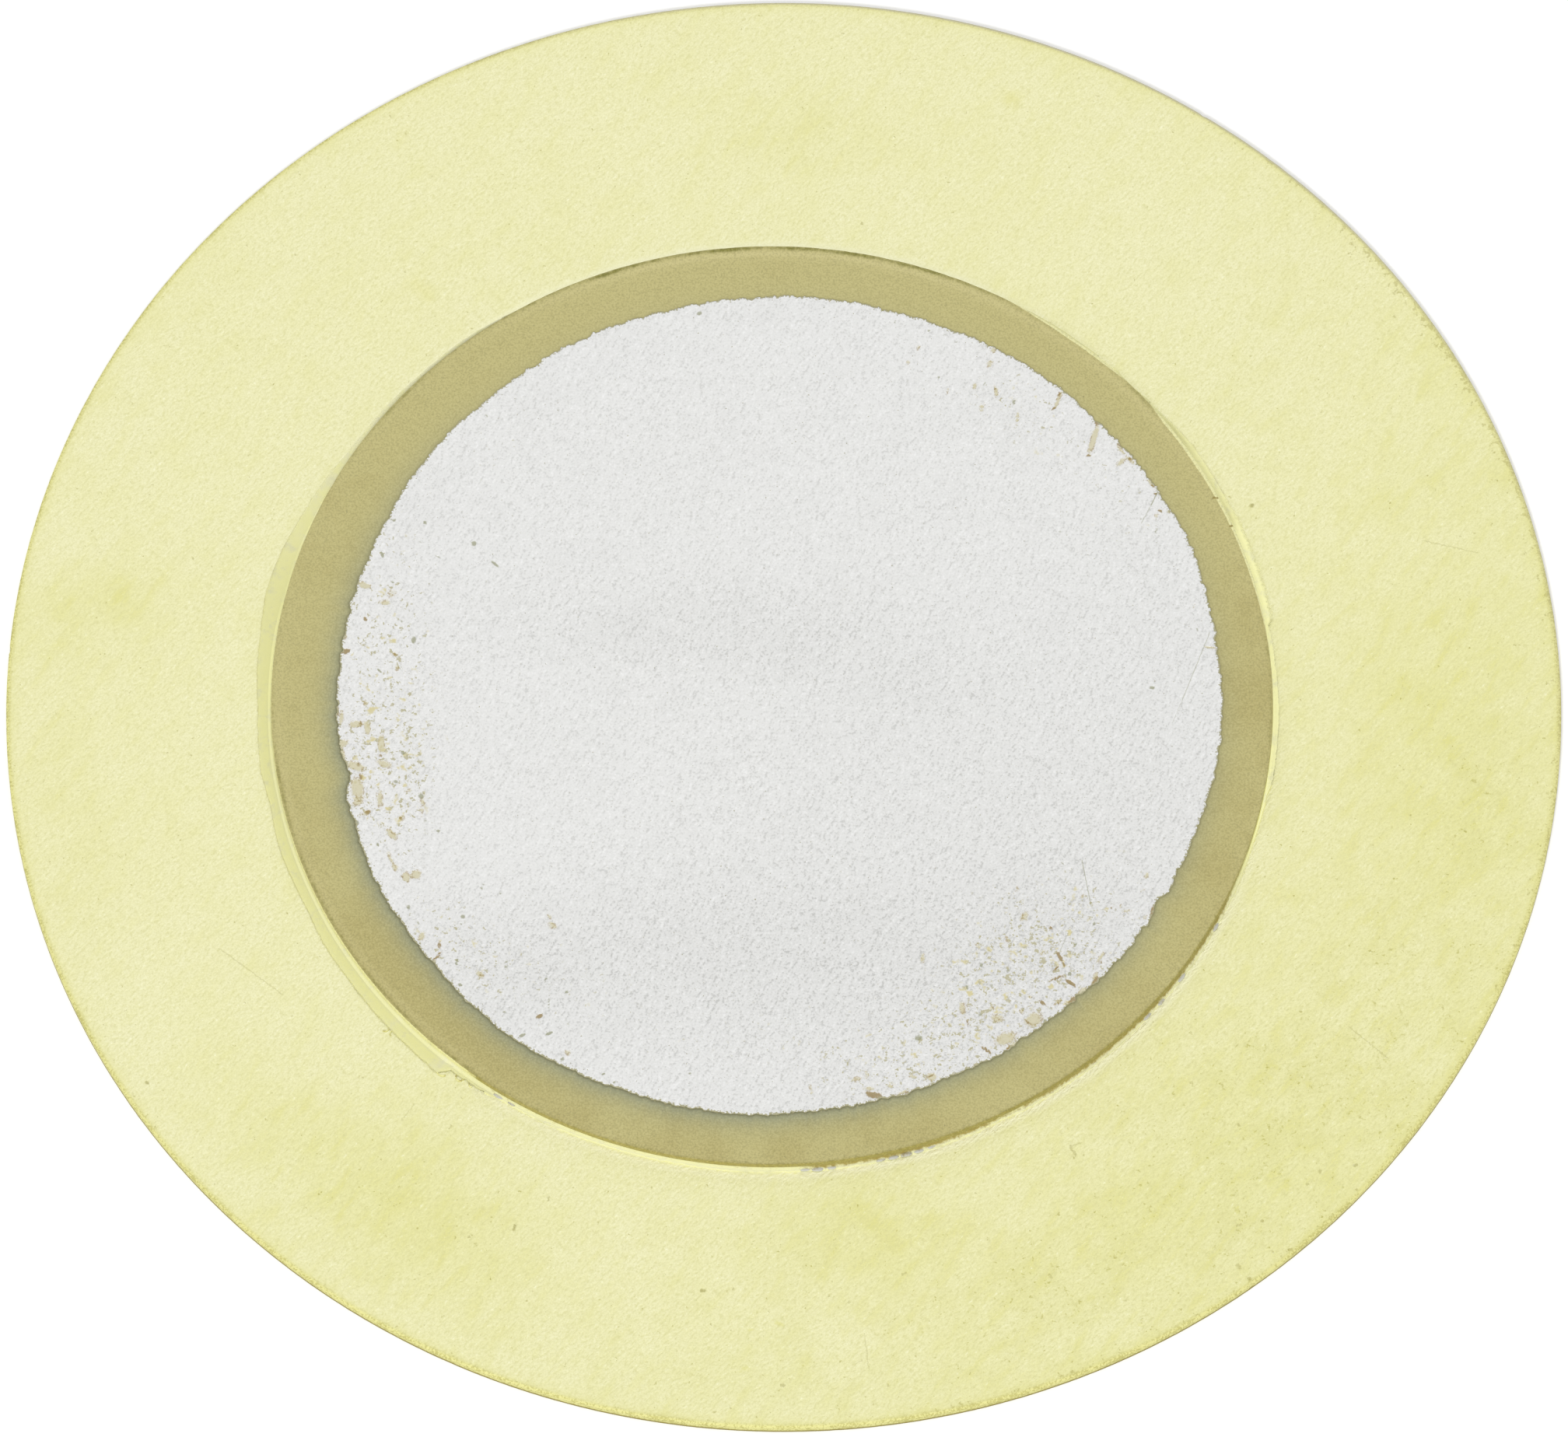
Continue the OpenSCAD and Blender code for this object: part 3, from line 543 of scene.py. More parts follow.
class SilverSettings(bpy.types.PropertyGroup):
    """Sizes and colours of the printed silver films"""

    upper_margin: length("Upper margin", "Width of the bare ceramic ring around the upper film", 0.516)
    lower_margin: length("Lower margin", "Width of the bare ceramic ring around the lower film", 0.2)
    shift_x: offset("Shift X", "How far the upper film is off the ceramic's centre, to the right", 0.054)
    shift_y: offset("Shift Y", "How far the upper film is off the ceramic's centre, to the back", -0.003)
    oval: length("Oval", "Swell of the outline along its long slanting axis", 0.031)
    lobe: length("Lobe", "Depth of the three broad lobes on the outline", 0.018)
    ripple: length("Ripple", "Depth of the printed ripple on the outline", 0.008)
    teeth: length("Teeth", "Depth of the fine screen teeth on the outline", 0.03)
    steps: IntProperty(name="Steps", description="Steps around the outline", default=1440, min=90)
    silver: colour("Silver", "Fired silver paste", 225, 225, 223)
    shade: colour("Grey silver", "Greyed silver and hollows of the grain", 194, 194, 191)
    pit: colour("Pits", "Small pits in the silver", 176, 177, 172)
    tan: colour("Worn", "Ceramic showing through the silver", 211, 203, 162)
    brown: colour("Browned", "Browned flecks", 150, 126, 66)
    dusty: colour("Dusty", "Small flecks where the film is rubbed", 188, 184, 158)
    green: colour("Scuffed", "Green-grey scuffs", 146, 147, 108)
    fringe: colour("Fringe", "Ceramic between the film's finest teeth", 172, 168, 134)


class AdhesiveSettings(bpy.types.PropertyGroup):
    """Sizes and colours of the adhesive"""

    lip_width: length("Lip width", "Width of the narrow lip around the ceramic", 0.025)
    left_smear: length("Left smear", "Extra width of the smear on the left", 0.177)
    right_smear: length("Right smear", "Extra width of the smear at the upper right", 0.105)
    ragged: length("Ragged edge", "Depth of the ragged edge", 0.008)
    steps: IntProperty(name="Steps", description="Steps around the film", default=1440, min=90)
    film: colour("Film", "Clear film over brass", 239, 237, 174)
    yellow: colour("Yellow film", "Pale glossy film", 246, 243, 182)
    # Painted light: the film painted brighter where it shines
    bright: colour("Bright film", "Clear film that takes its shine from the brass under it", 247, 245, 186)
    dull: colour("Dull lip", "Lip where it looks like the brass around it", 198, 198, 190)
    olive: colour("Olive film", "Film in the corner against the ceramic", 152, 134, 58)
    gloom: colour("Shaded film", "Film in the shade behind the ceramic", 146, 143, 88)
    # Painted reflection on the film, and the colour of its whitish flakes
    frost: colour("Frosted film", "Scuffed, whitish film", 236, 234, 200)


class StudioSettings(bpy.types.PropertyGroup):
    """Camera and lights"""

    lens: FloatProperty(name="Lens", description="Focal length in millimetres", default=642.6, min=1)
    distance: length("Distance", "Distance of the camera from the point it looks at", 252)
    elevation: FloatProperty(name="Elevation", description="Angle of the camera above the horizon",
                             default=math.radians(66.493), subtype="ANGLE", unit="ROTATION")
    aim_x: offset("Aim X", "The point that the camera looks at, to the right", 0.0027)
    aim_y: offset("Aim Y", "The point that the camera looks at, to the back", -0.0671)
    fill: FloatProperty(name="Fill", description="Strength of the light from all around", default=0.62, min=0)
    key: FloatProperty(name="Key", description="Power of the key lamp in watts", default=1.15, min=0)
    floor: colour("Floor", "Pale studio floor", 240, 240, 240)


class PiezoSettings(bpy.types.PropertyGroup):
    """All sizes and colours of the piezo disc"""

    plate: PointerProperty(type=PlateSettings)
    ceramic: PointerProperty(type=CeramicSettings)
    silver: PointerProperty(type=SilverSettings)
    adhesive: PointerProperty(type=AdhesiveSettings)
    studio: PointerProperty(type=StudioSettings)


def by_angle(table, angle):
    """The value of a table of (direction, value) at an angle in degrees, straight between its rows."""
    if angle <= table[0][0]:
        return table[0][1]
    for (a0, v0), (a1, v1) in zip(table, table[1:]):
        if angle <= a1:
            return v0 + (v1 - v0) * (angle - a0) / (a1 - a0)
    return table[-1][1]


def ease(value):
    """A smooth step from 0 to 1."""
    value = min(1, max(0, value))
    return value * value * (3 - 2 * value)


def fade(distance, reach):
    """1 at no distance or less, falling off over the reach."""
    return math.exp(-max(0, distance) / reach)


def spaced(first, last, count):
    """Values spread evenly from first to last."""
    return [first + (last - first) * i / (count - 1) for i in range(count)]


def angle_of(x, y):
    """The direction of a point in degrees, from 0 to 360."""
    return math.degrees(math.atan2(y, x)) % 360


def ring_noise(angle, *waves):
    """Noise that closes on itself around a circle, of waves with a share, how many go round and a seed."""
    turn = math.radians(angle)
    total = 0
    for share, per_turn, seed in waves:
        reach = per_turn / FULL_TURN
        total += share * noise.noise(Vector((math.cos(turn) * reach, math.sin(turn) * reach, seed)))
    return total


def dent(angle, places):
    """The depth at an angle of the nicks or notches listed."""
    deepest = 0
    for at, reach, depth in places:
        apart = abs((angle - at + 180) % 360 - 180)
        if apart < reach:
            deepest = max(deepest, depth * ease(1 - apart / reach))
    return deepest


def print_edge(silver, radius, angle):
    """Distance in mm of the upper film's edge from its centre, in the direction angle."""
    a = math.radians(angle)
    for name, share, count, first in PRINT_SWELLS:
        radius += share * getattr(silver, name) / MM * math.cos(count * (a - math.radians(first)))
    return radius + silver.teeth / MM * ring_noise(angle, *TEETH_NOISE) - dent(angle, PRINT_NOTCHES)


def lip_edge(adhesive, ceramic_r, angle):
    """Distance in mm of the adhesive's outer edge from the ceramic's centre, in the direction angle."""
    ragged = sum(math.cos(math.radians(count * angle + turn)) for count, turn in LIP_WAVES) / len(LIP_WAVES)
    smooth = (
        ceramic_r
        + adhesive.lip_width / MM
        + adhesive.left_smear / MM * by_angle(LEFT_SMEAR, angle)
        + adhesive.right_smear / MM * by_angle(RIGHT_SMEAR, angle - 360 if angle > 180 else angle)
        + adhesive.ragged / MM * ragged
    )
    crumbs = by_angle(CRUMBS_BY_ANGLE, angle) * CRUMB_DEPTH
    return smooth + ring_noise(angle, *LIP_NOISE) + crumbs * max(-0.6, ring_noise(angle, *CRUMB_NOISE))


def ceramic_radius(settings):
    """The ceramic's radius in mm."""
    return settings.ceramic.diameter / 2 / MM


def ceramic_centre(settings):
    """The ceramic's centre in mm."""
    return settings.ceramic.centre_x / MM, settings.ceramic.centre_y / MM


def silver_centre(settings):
    """The upper film's centre in mm."""
    ceramic, silver = settings.ceramic, settings.silver
    return (ceramic.centre_x + silver.shift_x) / MM, (ceramic.centre_y + silver.shift_y) / MM


def spin_round(bm, geom, angle, steps):
    """Turns vertices and edges about Z into a surface."""
    bmesh.ops.spin(bm, geom=geom, cent=(0, 0, 0), axis=(0, 0, 1), dvec=(0, 0, 0), angle=angle, steps=steps,
                   use_merge=False, use_normal_flip=False, use_duplicate=False)


def turn_verts(bm, verts, angle, axis="Z"):
    """Turns vertices about an axis through the origin."""
    bmesh.ops.rotate(bm, verts=verts, cent=(0, 0, 0), matrix=Matrix.Rotation(angle, 3, axis))


def spin_profile(profile, steps, layers):
    """A closed bmesh turned from (radius, height) points in mm that start and end on the axis.

    Its vertices get named values, which are made before any vertex is held on to.
    """
    bm = bmesh.new()
    for name in layers:
        bm.verts.layers.float.new(name)
    verts = [bm.verts.new((radius * MM, 0, height * MM)) for radius, height in profile]
    edges = [bm.edges.new(pair) for pair in zip(verts, verts[1:])]
    # One wedge is spun and copied around, because a spin slows down with every step that it has made
    spin_round(bm, verts + edges, FULL_TURN / WEDGES, steps // WEDGES)
    wedge = bm.verts[:] + bm.edges[:] + bm.faces[:]
    for i in range(1, WEDGES):
        made = bmesh.ops.duplicate(bm, geom=wedge)["geom"]
        copies = [part for part in made if isinstance(part, bmesh.types.BMVert)]
        turn_verts(bm, copies, FULL_TURN * i / WEDGES)
    bmesh.ops.remove_doubles(bm, verts=bm.verts, dist=0.0001 * MM)
    bmesh.ops.recalc_face_normals(bm, faces=bm.faces)
    return bm


def reshape(bm, move):
    """Moves each vertex to where move(radius, angle, height) puts it, all in mm and degrees."""
    for vert in bm.verts:
        radius = math.hypot(vert.co.x, vert.co.y) / MM
        if radius < 1e-6:
            continue
        angle = angle_of(vert.co.x, vert.co.y)
        new_radius, new_height = move(radius, angle, vert.co.z / MM)
        turn = math.radians(angle)
        vert.co = Vector((new_radius * math.cos(turn), new_radius * math.sin(turn), new_height)) * MM


def fill_layers(bm, values_at):
    """Gives every vertex the named values that values_at(x, y, height) returns, all in mm."""
    layers = bm.verts.layers.float
    for vert in bm.verts:
        for name, value in values_at(*(part / MM for part in vert.co)).items():
            vert[layers[name]] = value


def finish_piece(name, bm, material, replaced=None, centre=(0, 0), sharp=35):
    """Makes the piece's object about its centre in mm, crisp where it turns sharply, and ties it down."""
    bmesh.ops.translate(bm, verts=bm.verts, vec=Vector((*centre, 0)) * MM)
    for face in bm.faces:
        face.smooth = True
    for edge in bm.edges:
        edge.smooth = edge.calc_face_angle(0) < math.radians(sharp)
    mesh = bpy.data.meshes.new(name)
    bm.to_mesh(mesh)
    bm.free()
    mesh.materials.append(material)
    piece = bpy.data.objects.new(name, mesh)
    bpy.context.scene.collection.objects.link(piece)
    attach(piece, BODY)
    if replaced:
        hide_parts(replaced)


def top_points(bm, level):
    """A tree of the vertices at a level in mm, and the vertices, to find those near a mark."""
    found = [v for v in bm.verts if abs(v.co.z / MM - level) < LEVEL_GAP]
    tree = KDTree(len(found))
    for i, v in enumerate(found):
        tree.insert((v.co.x / MM, v.co.y / MM, 0), i)
    tree.balance()
    return tree, found


def paint_spot(points, layer, x, y, wide, high, turn, strength):
    """Raises a layer of values to a soft oval spot, whose half widths and turn are in mm and degrees."""
    tree, found = points
    across, along = math.cos(math.radians(turn)), math.sin(math.radians(turn))
    for co, i, _ in tree.find_range((x, y, 0), 1.5 * max(wide, high)):
        dx, dy = co.x - x, co.y - y
        u = (dx * across + dy * along) / wide
        v = (dy * across - dx * along) / high
        value = strength * math.exp(-1.4 * (u * u + v * v) ** 1.3)
        found[i][layer] += value * (1 - found[i][layer])


def paint_marks(bm, level, tables):
    """Paints the patches or flecks of each named table into the values of that name, at a level in mm."""
    points = top_points(bm, level)
    for name, table in tables.items():
        layer = bm.verts.layers.float[name]
        for row in table:
            if isinstance(row, Patch):
                paint_spot(points, layer, *row)
                continue
            a = math.radians(row.angle)
            paint_spot(points, layer, row.radius * math.cos(a), row.radius * math.sin(a),
                       max(row.length / 2, LEAST_LENGTH), max(row.width / 2, LEAST_WIDTH),
                       row.angle + 90 - row.turn, row.strength)


class Nodes:
    """A node tree, with short ways to add nodes to it."""

    def __init__(self, tree):
        self.tree = tree

    def put(self, target, value):
        """Sets an input to a value, or links a socket to it."""
        if isinstance(value, bpy.types.NodeSocket):
            self.tree.links.new(value, target)
        else:
            target.default_value = value

    def add(self, kind, inputs=None, **settings):
        """A node with its settings, and its inputs set to values or linked to sockets."""
        made = self.tree.nodes.new(kind)
        for name, value in settings.items():
            setattr(made, name, value)
        for key, value in (inputs or {}).items():
            self.put(made.inputs[key], value)
        return made

    def calc(self, operation, *values, clamp=False):
        """The output of a Math node on values or sockets."""
        made = self.add("ShaderNodeMath", dict(enumerate(values)), operation=operation, use_clamp=clamp)
        return made.outputs[0]

    def vector(self, operation, *values, **named):
        """The output of a Vector Math node on values or sockets."""
        made = self.add("ShaderNodeVectorMath", {**dict(enumerate(values)), **named}, operation=operation)
        return made.outputs["Value" if operation in ("DOT_PRODUCT", "DISTANCE", "LENGTH") else "Vector"]

    def times(self, first, second):
        """The product of two values."""
        return self.calc("MULTIPLY", first, second)

    def sum_of(self, value, share, rest):
        """A share of a value, added to the rest."""
        return self.calc("MULTIPLY_ADD", value, share, rest)

    def swing(self, value, share, rest):
        """A share of how far a noise is above its middle, added to the rest."""
        return self.sum_of(self.calc("SUBTRACT", value, 0.5), share, rest)

    def most(self, first, *others):
        """The largest of several values."""
        for other in others:
            first = self.calc("MAXIMUM", first, other)
        return first

    def rise(self, value, low, high):
        """0 below low, 1 above high and a smooth climb between them."""
        made = self.add("ShaderNodeMapRange", {"Value": value, "From Min": low, "From Max": high},
                        interpolation_type="SMOOTHSTEP")
        return made.outputs["Result"]

    def blend(self, factor, first, second):
        """The colour output of a Mix node."""
        made = self.add("ShaderNodeMix", data_type="RGBA")
        sockets = {s.identifier: s for s in made.inputs}
        self.put(sockets["Factor_Float"], factor)
        for key, value in (("A_Color", first), ("B_Color", second)):
            self.put(sockets[key], value if isinstance(value, bpy.types.NodeSocket) else (*value, 1))
        return next(s for s in made.outputs if s.identifier == "Result_Color")

    def grain(self, place, scale, detail, rough):
        """Noise from about 0 to 1."""
        inputs = {"Vector": place, "Scale": scale, "Detail": detail, "Roughness": rough}
        return self.add("ShaderNodeTexNoise", inputs).outputs["Fac"]

    def mapped(self, place, shift, scale=(1, 1, 1)):
        """A place scaled and shifted."""
        made = self.add("ShaderNodeMapping", {"Vector": place, "Location": shift, "Scale": scale})
        return made.outputs["Vector"]

    def in_mm(self, centre=(0, 0)):
        """Object coordinates in millimetres about a centre."""
        coords = self.add("ShaderNodeTexCoord").outputs["Object"]
        return self.mapped(coords, (-centre[0], -centre[1], 0), (1 / MM, 1 / MM, 1 / MM))

    def painted(self, name):
        """The value of a painted attribute."""
        return self.add("ShaderNodeAttribute", attribute_name=name, attribute_type="GEOMETRY").outputs["Fac"]

    def effect(self, name, *values):
        """The output of a shared effect, with values or sockets for its inputs, in their order."""
        made = self.add("ShaderNodeGroup", node_tree=effect_group(name))
        for target, value in zip(made.inputs, values):
            self.put(target, value)
        return made.outputs[0]

    def specks(self, place, scale, crowd, sharpness):
        """A mask of scattered specks."""
        return self.effect("Scattered Specks", place, scale, crowd, sharpness)

    def ragged_place(self, place, scale, reach):
        """A place shaken sideways by noise, so that what is drawn with it gets ragged outlines."""
        shake = self.add("ShaderNodeTexNoise", {"Vector": place, "Scale": scale, "Detail": 1.0})
        about = self.vector("SUBTRACT", shake.outputs["Color"], (0.5, 0.5, 0.5))
        return self.vector("ADD", place, self.vector("SCALE", about, Scale=reach))

    def drawn(self, place, marks, core=0.5):
        """One mask of the fine marks listed. The core is the share of the half width at full strength."""
        total = 0.0
        for mark in marks:
            ends = (mark.x, mark.y, 0), (mark.to_x, mark.to_y, 0)
            mask = self.effect("Fine Mark", place, *ends, mark.wide, core)
            total = self.most(total, self.times(mask, mark.strength))
        return total

    def seen(self):
        """1 for rays from the camera, or mirrored or passed on to it, and 0 for light that falls on it."""
        path = self.add("ShaderNodeLightPath").outputs
        return self.most(path["Is Glossy Ray"], path["Is Transmission Ray"], path["Is Camera Ray"])


class Look(Nodes):
    """A material with a Principled shader, whose colour is laid on coat by coat over a first colour."""

    def __init__(self, name, colour):
        self.material = bpy.data.materials.new(name)
        super().__init__(empty_tree(self.material))
        self.shader = self.add("ShaderNodeBsdfPrincipled")
        self.add("ShaderNodeOutputMaterial", {"Surface": self.shader.outputs[0]})
        self.colour = colour

    def coat(self, colour, mask, share=1):
        """Lays a colour on where the mask is, at a share of its strength."""
        self.colour = self.blend(mask if share == 1 else self.times(mask, share), self.colour, colour)

    def finish(self, height, relief_mm, **inputs):
        """The material, with its colour, its relief and the other inputs of its shader."""
        bump = self.add("ShaderNodeBump", {"Height": height, "Distance": relief_mm * MM, "Strength": 1.0})
        inputs = {"Base Color": self.colour, "Normal": bump.outputs["Normal"], **inputs}
        for key, value in inputs.items():
            self.put(self.shader.inputs[key], value)
        return self.material


def empty_tree(owner):
    """The emptied node tree of a material or world."""
    owner.use_nodes = True
    owner.node_tree.nodes.clear()
    return owner.node_tree


def rolled_strokes(nodes, given):
    """Short strokes of a rolled or wiped surface, as a height."""
    turned = nodes.add("ShaderNodeVectorRotate", {"Vector": given["Place"], "Angle": given["Turn"]},
                       rotation_type="Z_AXIS", invert=True)
    scale = nodes.add("ShaderNodeCombineXYZ", {0: given["Along"], 1: given["Across"], 2: 1.0})
    return nodes.grain(nodes.vector("MULTIPLY", turned.outputs[0], scale.outputs[0]), 1.0, 2.0, 0.55)


def scattered_specks(nodes, given):
    """Scattered small specks whose number follows a crowd value."""
    fine = nodes.grain(given["Place"], given["Scale"], 2.0, 0.6)
    start = nodes.sum_of(given["Crowd"], -0.16, 0.74)
    return nodes.rise(fine, start, nodes.calc("ADD", start, given["Sharpness"]))


def fine_mark(nodes, given):
    """A fine straight line between two points, or a round dot where they meet."""
    along = nodes.vector("SUBTRACT", given["To"], given["From"])
    away = nodes.vector("SUBTRACT", nodes.vector("MULTIPLY", given["Place"], (1, 1, 0)), given["From"])
    whole = nodes.calc("ADD", nodes.vector("DOT_PRODUCT", along, along), 0.00001)
    share = nodes.calc("DIVIDE", nodes.vector("DOT_PRODUCT", away, along), whole, clamp=True)
    gap = nodes.vector("DISTANCE", away, nodes.vector("SCALE", along, Scale=share))
    return nodes.rise(nodes.calc("DIVIDE", gap, given["Half Width"]), 1.4, given["Core"])


def ragged_flecks(nodes, given):
    """Breaks a softly painted mark into ragged flecks."""
    fine = nodes.grain(given["Place"], given["Scale"], 3.0, 0.7)
    return nodes.rise(nodes.swing(fine, given["Rough"], given["Paint"]), 0.2, 0.55)


# The shared effects: what fills the group, its inputs with their defaults, and its output
EFFECTS = {
    "Rolled Strokes": (rolled_strokes, {"Place": None, "Turn": 0.9, "Across": 30.0, "Along": 9.0}, "Height"),
    "Scattered Specks": (
        scattered_specks, {"Place": None, "Scale": 14.0, "Crowd": 0.0, "Sharpness": 0.06}, "Mask",
    ),
    "Fine Mark": (
        fine_mark, {"Place": None, "From": None, "To": None, "Half Width": 0.01, "Core": 0.5}, "Mask",
    ),
    "Ragged Flecks": (ragged_flecks, {"Place": None, "Paint": 0.0, "Scale": 26.0, "Rough": 0.9}, "Mask"),
}


def effect_group(name):
    """The node group of a shared effect, built the first time that it is wanted."""
    if name not in bpy.data.node_groups:
        fill, inputs, output = EFFECTS[name]
        group = bpy.data.node_groups.new(name, "ShaderNodeTree")
        for title, default in inputs.items():
            kind = "NodeSocketVector" if default is None else "NodeSocketFloat"
            made = group.interface.new_socket(name=title, in_out="INPUT", socket_type=kind)
            if default is not None:
                made.default_value = default
        group.interface.new_socket(name=output, in_out="OUTPUT", socket_type="NodeSocketFloat")
        nodes = Nodes(group)
        given = nodes.add("NodeGroupInput").outputs
        nodes.add("NodeGroupOutput", {output: fill(nodes, given)})
    return bpy.data.node_groups[name]


def brass_material(plate, centre, ceramic_r):
    """Rolled brass with a fine grain, mellow streaks, olive specks, scratches and a tarnished rim."""
    look = Look("rolled brass", plate.pale)
    spot = look.in_mm()
    fine = look.effect("Rolled Strokes", spot, math.radians(48), 42.0, 20.0)
    streaks = look.effect("Rolled Strokes", spot, math.radians(55), 8.0, 2.6)
    cloud = look.grain(spot, 0.8, 3.0, 0.65)
    blots = look.grain(spot, 3.2, 4.0, 0.7)
    mellow = look.painted("mellow")
    soil = look.painted("soil")
    # Yellow and pale tones
    tone = look.swing(blots, 0.6, look.swing(cloud, 0.7, look.swing(streaks, 0.5, mellow)))
    look.coat(plate.warm, look.rise(tone, -0.4, 1.3))
    # Yellow streaks and spots
    streaked = look.rise(look.sum_of(fine, 0.35, streaks), 0.66, 0.95)
    look.coat(plate.yellow, look.times(streaked, look.sum_of(mellow, 0.6, 0.12)))
    spots = look.mapped(spot, (5.1, 2.3, 0))
    look.coat(plate.yellow, look.specks(spots, 6.0, look.sum_of(soil, 0.7, 0.1), 0.2), 0.5)
    look.coat(plate.yellow, look.drawn(look.ragged_place(spot, 14.0, 0.1), YELLOW_MARKS, 0.0))
    # Olive mottling, specks, dust and marks
    look.coat(plate.olive, look.times(soil, look.rise(look.sum_of(fine, 0.3, blots), 0.55, 0.95)), 0.2)
    specks = look.specks(spot, 24.0, look.sum_of(soil, 0.95, 0.12), 0.08)
    look.coat(plate.olive, look.times(specks, look.rise(blots, 0.3, 0.75)), 0.8)
    dust = look.mapped(spot, (1.7, 8.3, 0))
    look.coat(plate.olive, look.specks(dust, 38.0, look.sum_of(soil, 0.5, 0.3), 0.12), 0.45)
    look.coat(plate.speck, look.drawn(look.ragged_place(spot, 45.0, 0.035), BRASS_MARKS), 0.8)
    # Painted highlights and painted shade in the grain itself
    look.coat(plate.shade, look.times(look.rise(fine, 0.54, 0.26), look.sum_of(soil, 0.3, 0.5)))
    look.coat((1.0, 1.0, 0.8), look.rise(fine, 0.6, 0.8), 0.5)
    look.coat(plate.shade, look.rise(look.grain(spot, 62.0, 1.0, 0.5), 0.7, 0.3), 0.35)
    # Painted light: the brass brightened close around the ceramic
    near = look.rise(look.vector("LENGTH", look.in_mm(centre)), ceramic_r + 0.13, ceramic_r + 0.03)
    look.coat(plate.halo, look.times(near, look.painted("halo")))
    # Tarnish along the rim: a yellow tint and dark crumbs; the dull wall, with painted shade along its foot
    look.coat(plate.yellow, look.painted("border"), 0.55)
    crumbs = look.grain(spot, 24.0, 2.0, 0.6)
    look.coat(plate.rim, look.rise(look.swing(crumbs, 2.4, look.painted("tarnish")), 0.42, 0.72), 0.4)
    wall = look.painted("wall")
    crusted = look.rise(look.swing(blots, 0.5, look.grain(spot, 50.0, 2.0, 0.6)), 0.45, 0.6)
    side = look.blend(look.times(crusted, 0.6), plate.wall, plate.crust)
    # Painted shade, darker towards the foot of the wall, broken up by the crumbs
    foot = look.rise(look.swing(crumbs, 0.4, look.painted("foot")), 0.25, 0.75)
    look.coat(look.blend(foot, side, plate.foot), wall)
    # Painted grey shade on the rolled edge
    look.coat(plate.grey, look.painted("greyed"))
    return look.finish(
        look.sum_of(streaks, 0.3, fine), 0.0045, Metallic=look.sum_of(wall, -0.9, 1.0),
        Roughness=look.most(look.sum_of(fine, 0.12, 0.38), look.times(wall, 0.7)),
    )


def ceramic_material(ceramic, centre):
    """Fired ceramic, greyed next to the silver."""
    look = Look("fired ceramic", ceramic.tan)
    spot = look.in_mm(centre)
    cloud = look.grain(spot, 1.6, 4.0, 0.65)
    fine = look.grain(spot, 58.0, 2.0, 0.6)
    look.coat(ceramic.light, look.rise(look.calc("ADD", cloud, look.painted("lit")), 0.3, 0.72))
    look.coat(ceramic.glint, look.painted("glint"))
    cool = look.swing(fine, 0.6, look.painted("cool"))
    look.coat(ceramic.grey, look.calc("MULTIPLY", cool, 0.9, clamp=True))
    look.coat(ceramic.dark, look.rise(look.swing(fine, 0.5, look.painted("seam")), 0.1, 0.95))
    # Adhesive on the wall, the dark line along the edge and the pale margin, broken up by specks
    # The dark line is painted shadow along the ceramic's far edge, and a dark olive line elsewhere
    speckles = look.grain(spot, 22.0, 2.0, 0.6)
    for name, share, low, high in EDGE_COATS:
        broken = look.swing(speckles, share, look.painted(name))
        look.coat(getattr(ceramic, name), look.rise(broken, low, high))
    look.coat(ceramic.dark, look.specks(spot, 20.0, -0.1, 0.05), 0.5)
    look.coat(ceramic.pin, look.drawn(look.ragged_place(spot, 45.0, 0.02), CERAMIC_MARKS))
    look.coat(ceramic.dark, look.rise(fine, 0.6, 0.3), 0.3)
    look.coat(ceramic.glint, look.rise(fine, 0.5, 0.75), 0.3)
    return look.finish(look.sum_of(cloud, 0.5, fine), 0.0012, Roughness=look.sum_of(cloud, 0.12, 0.5))


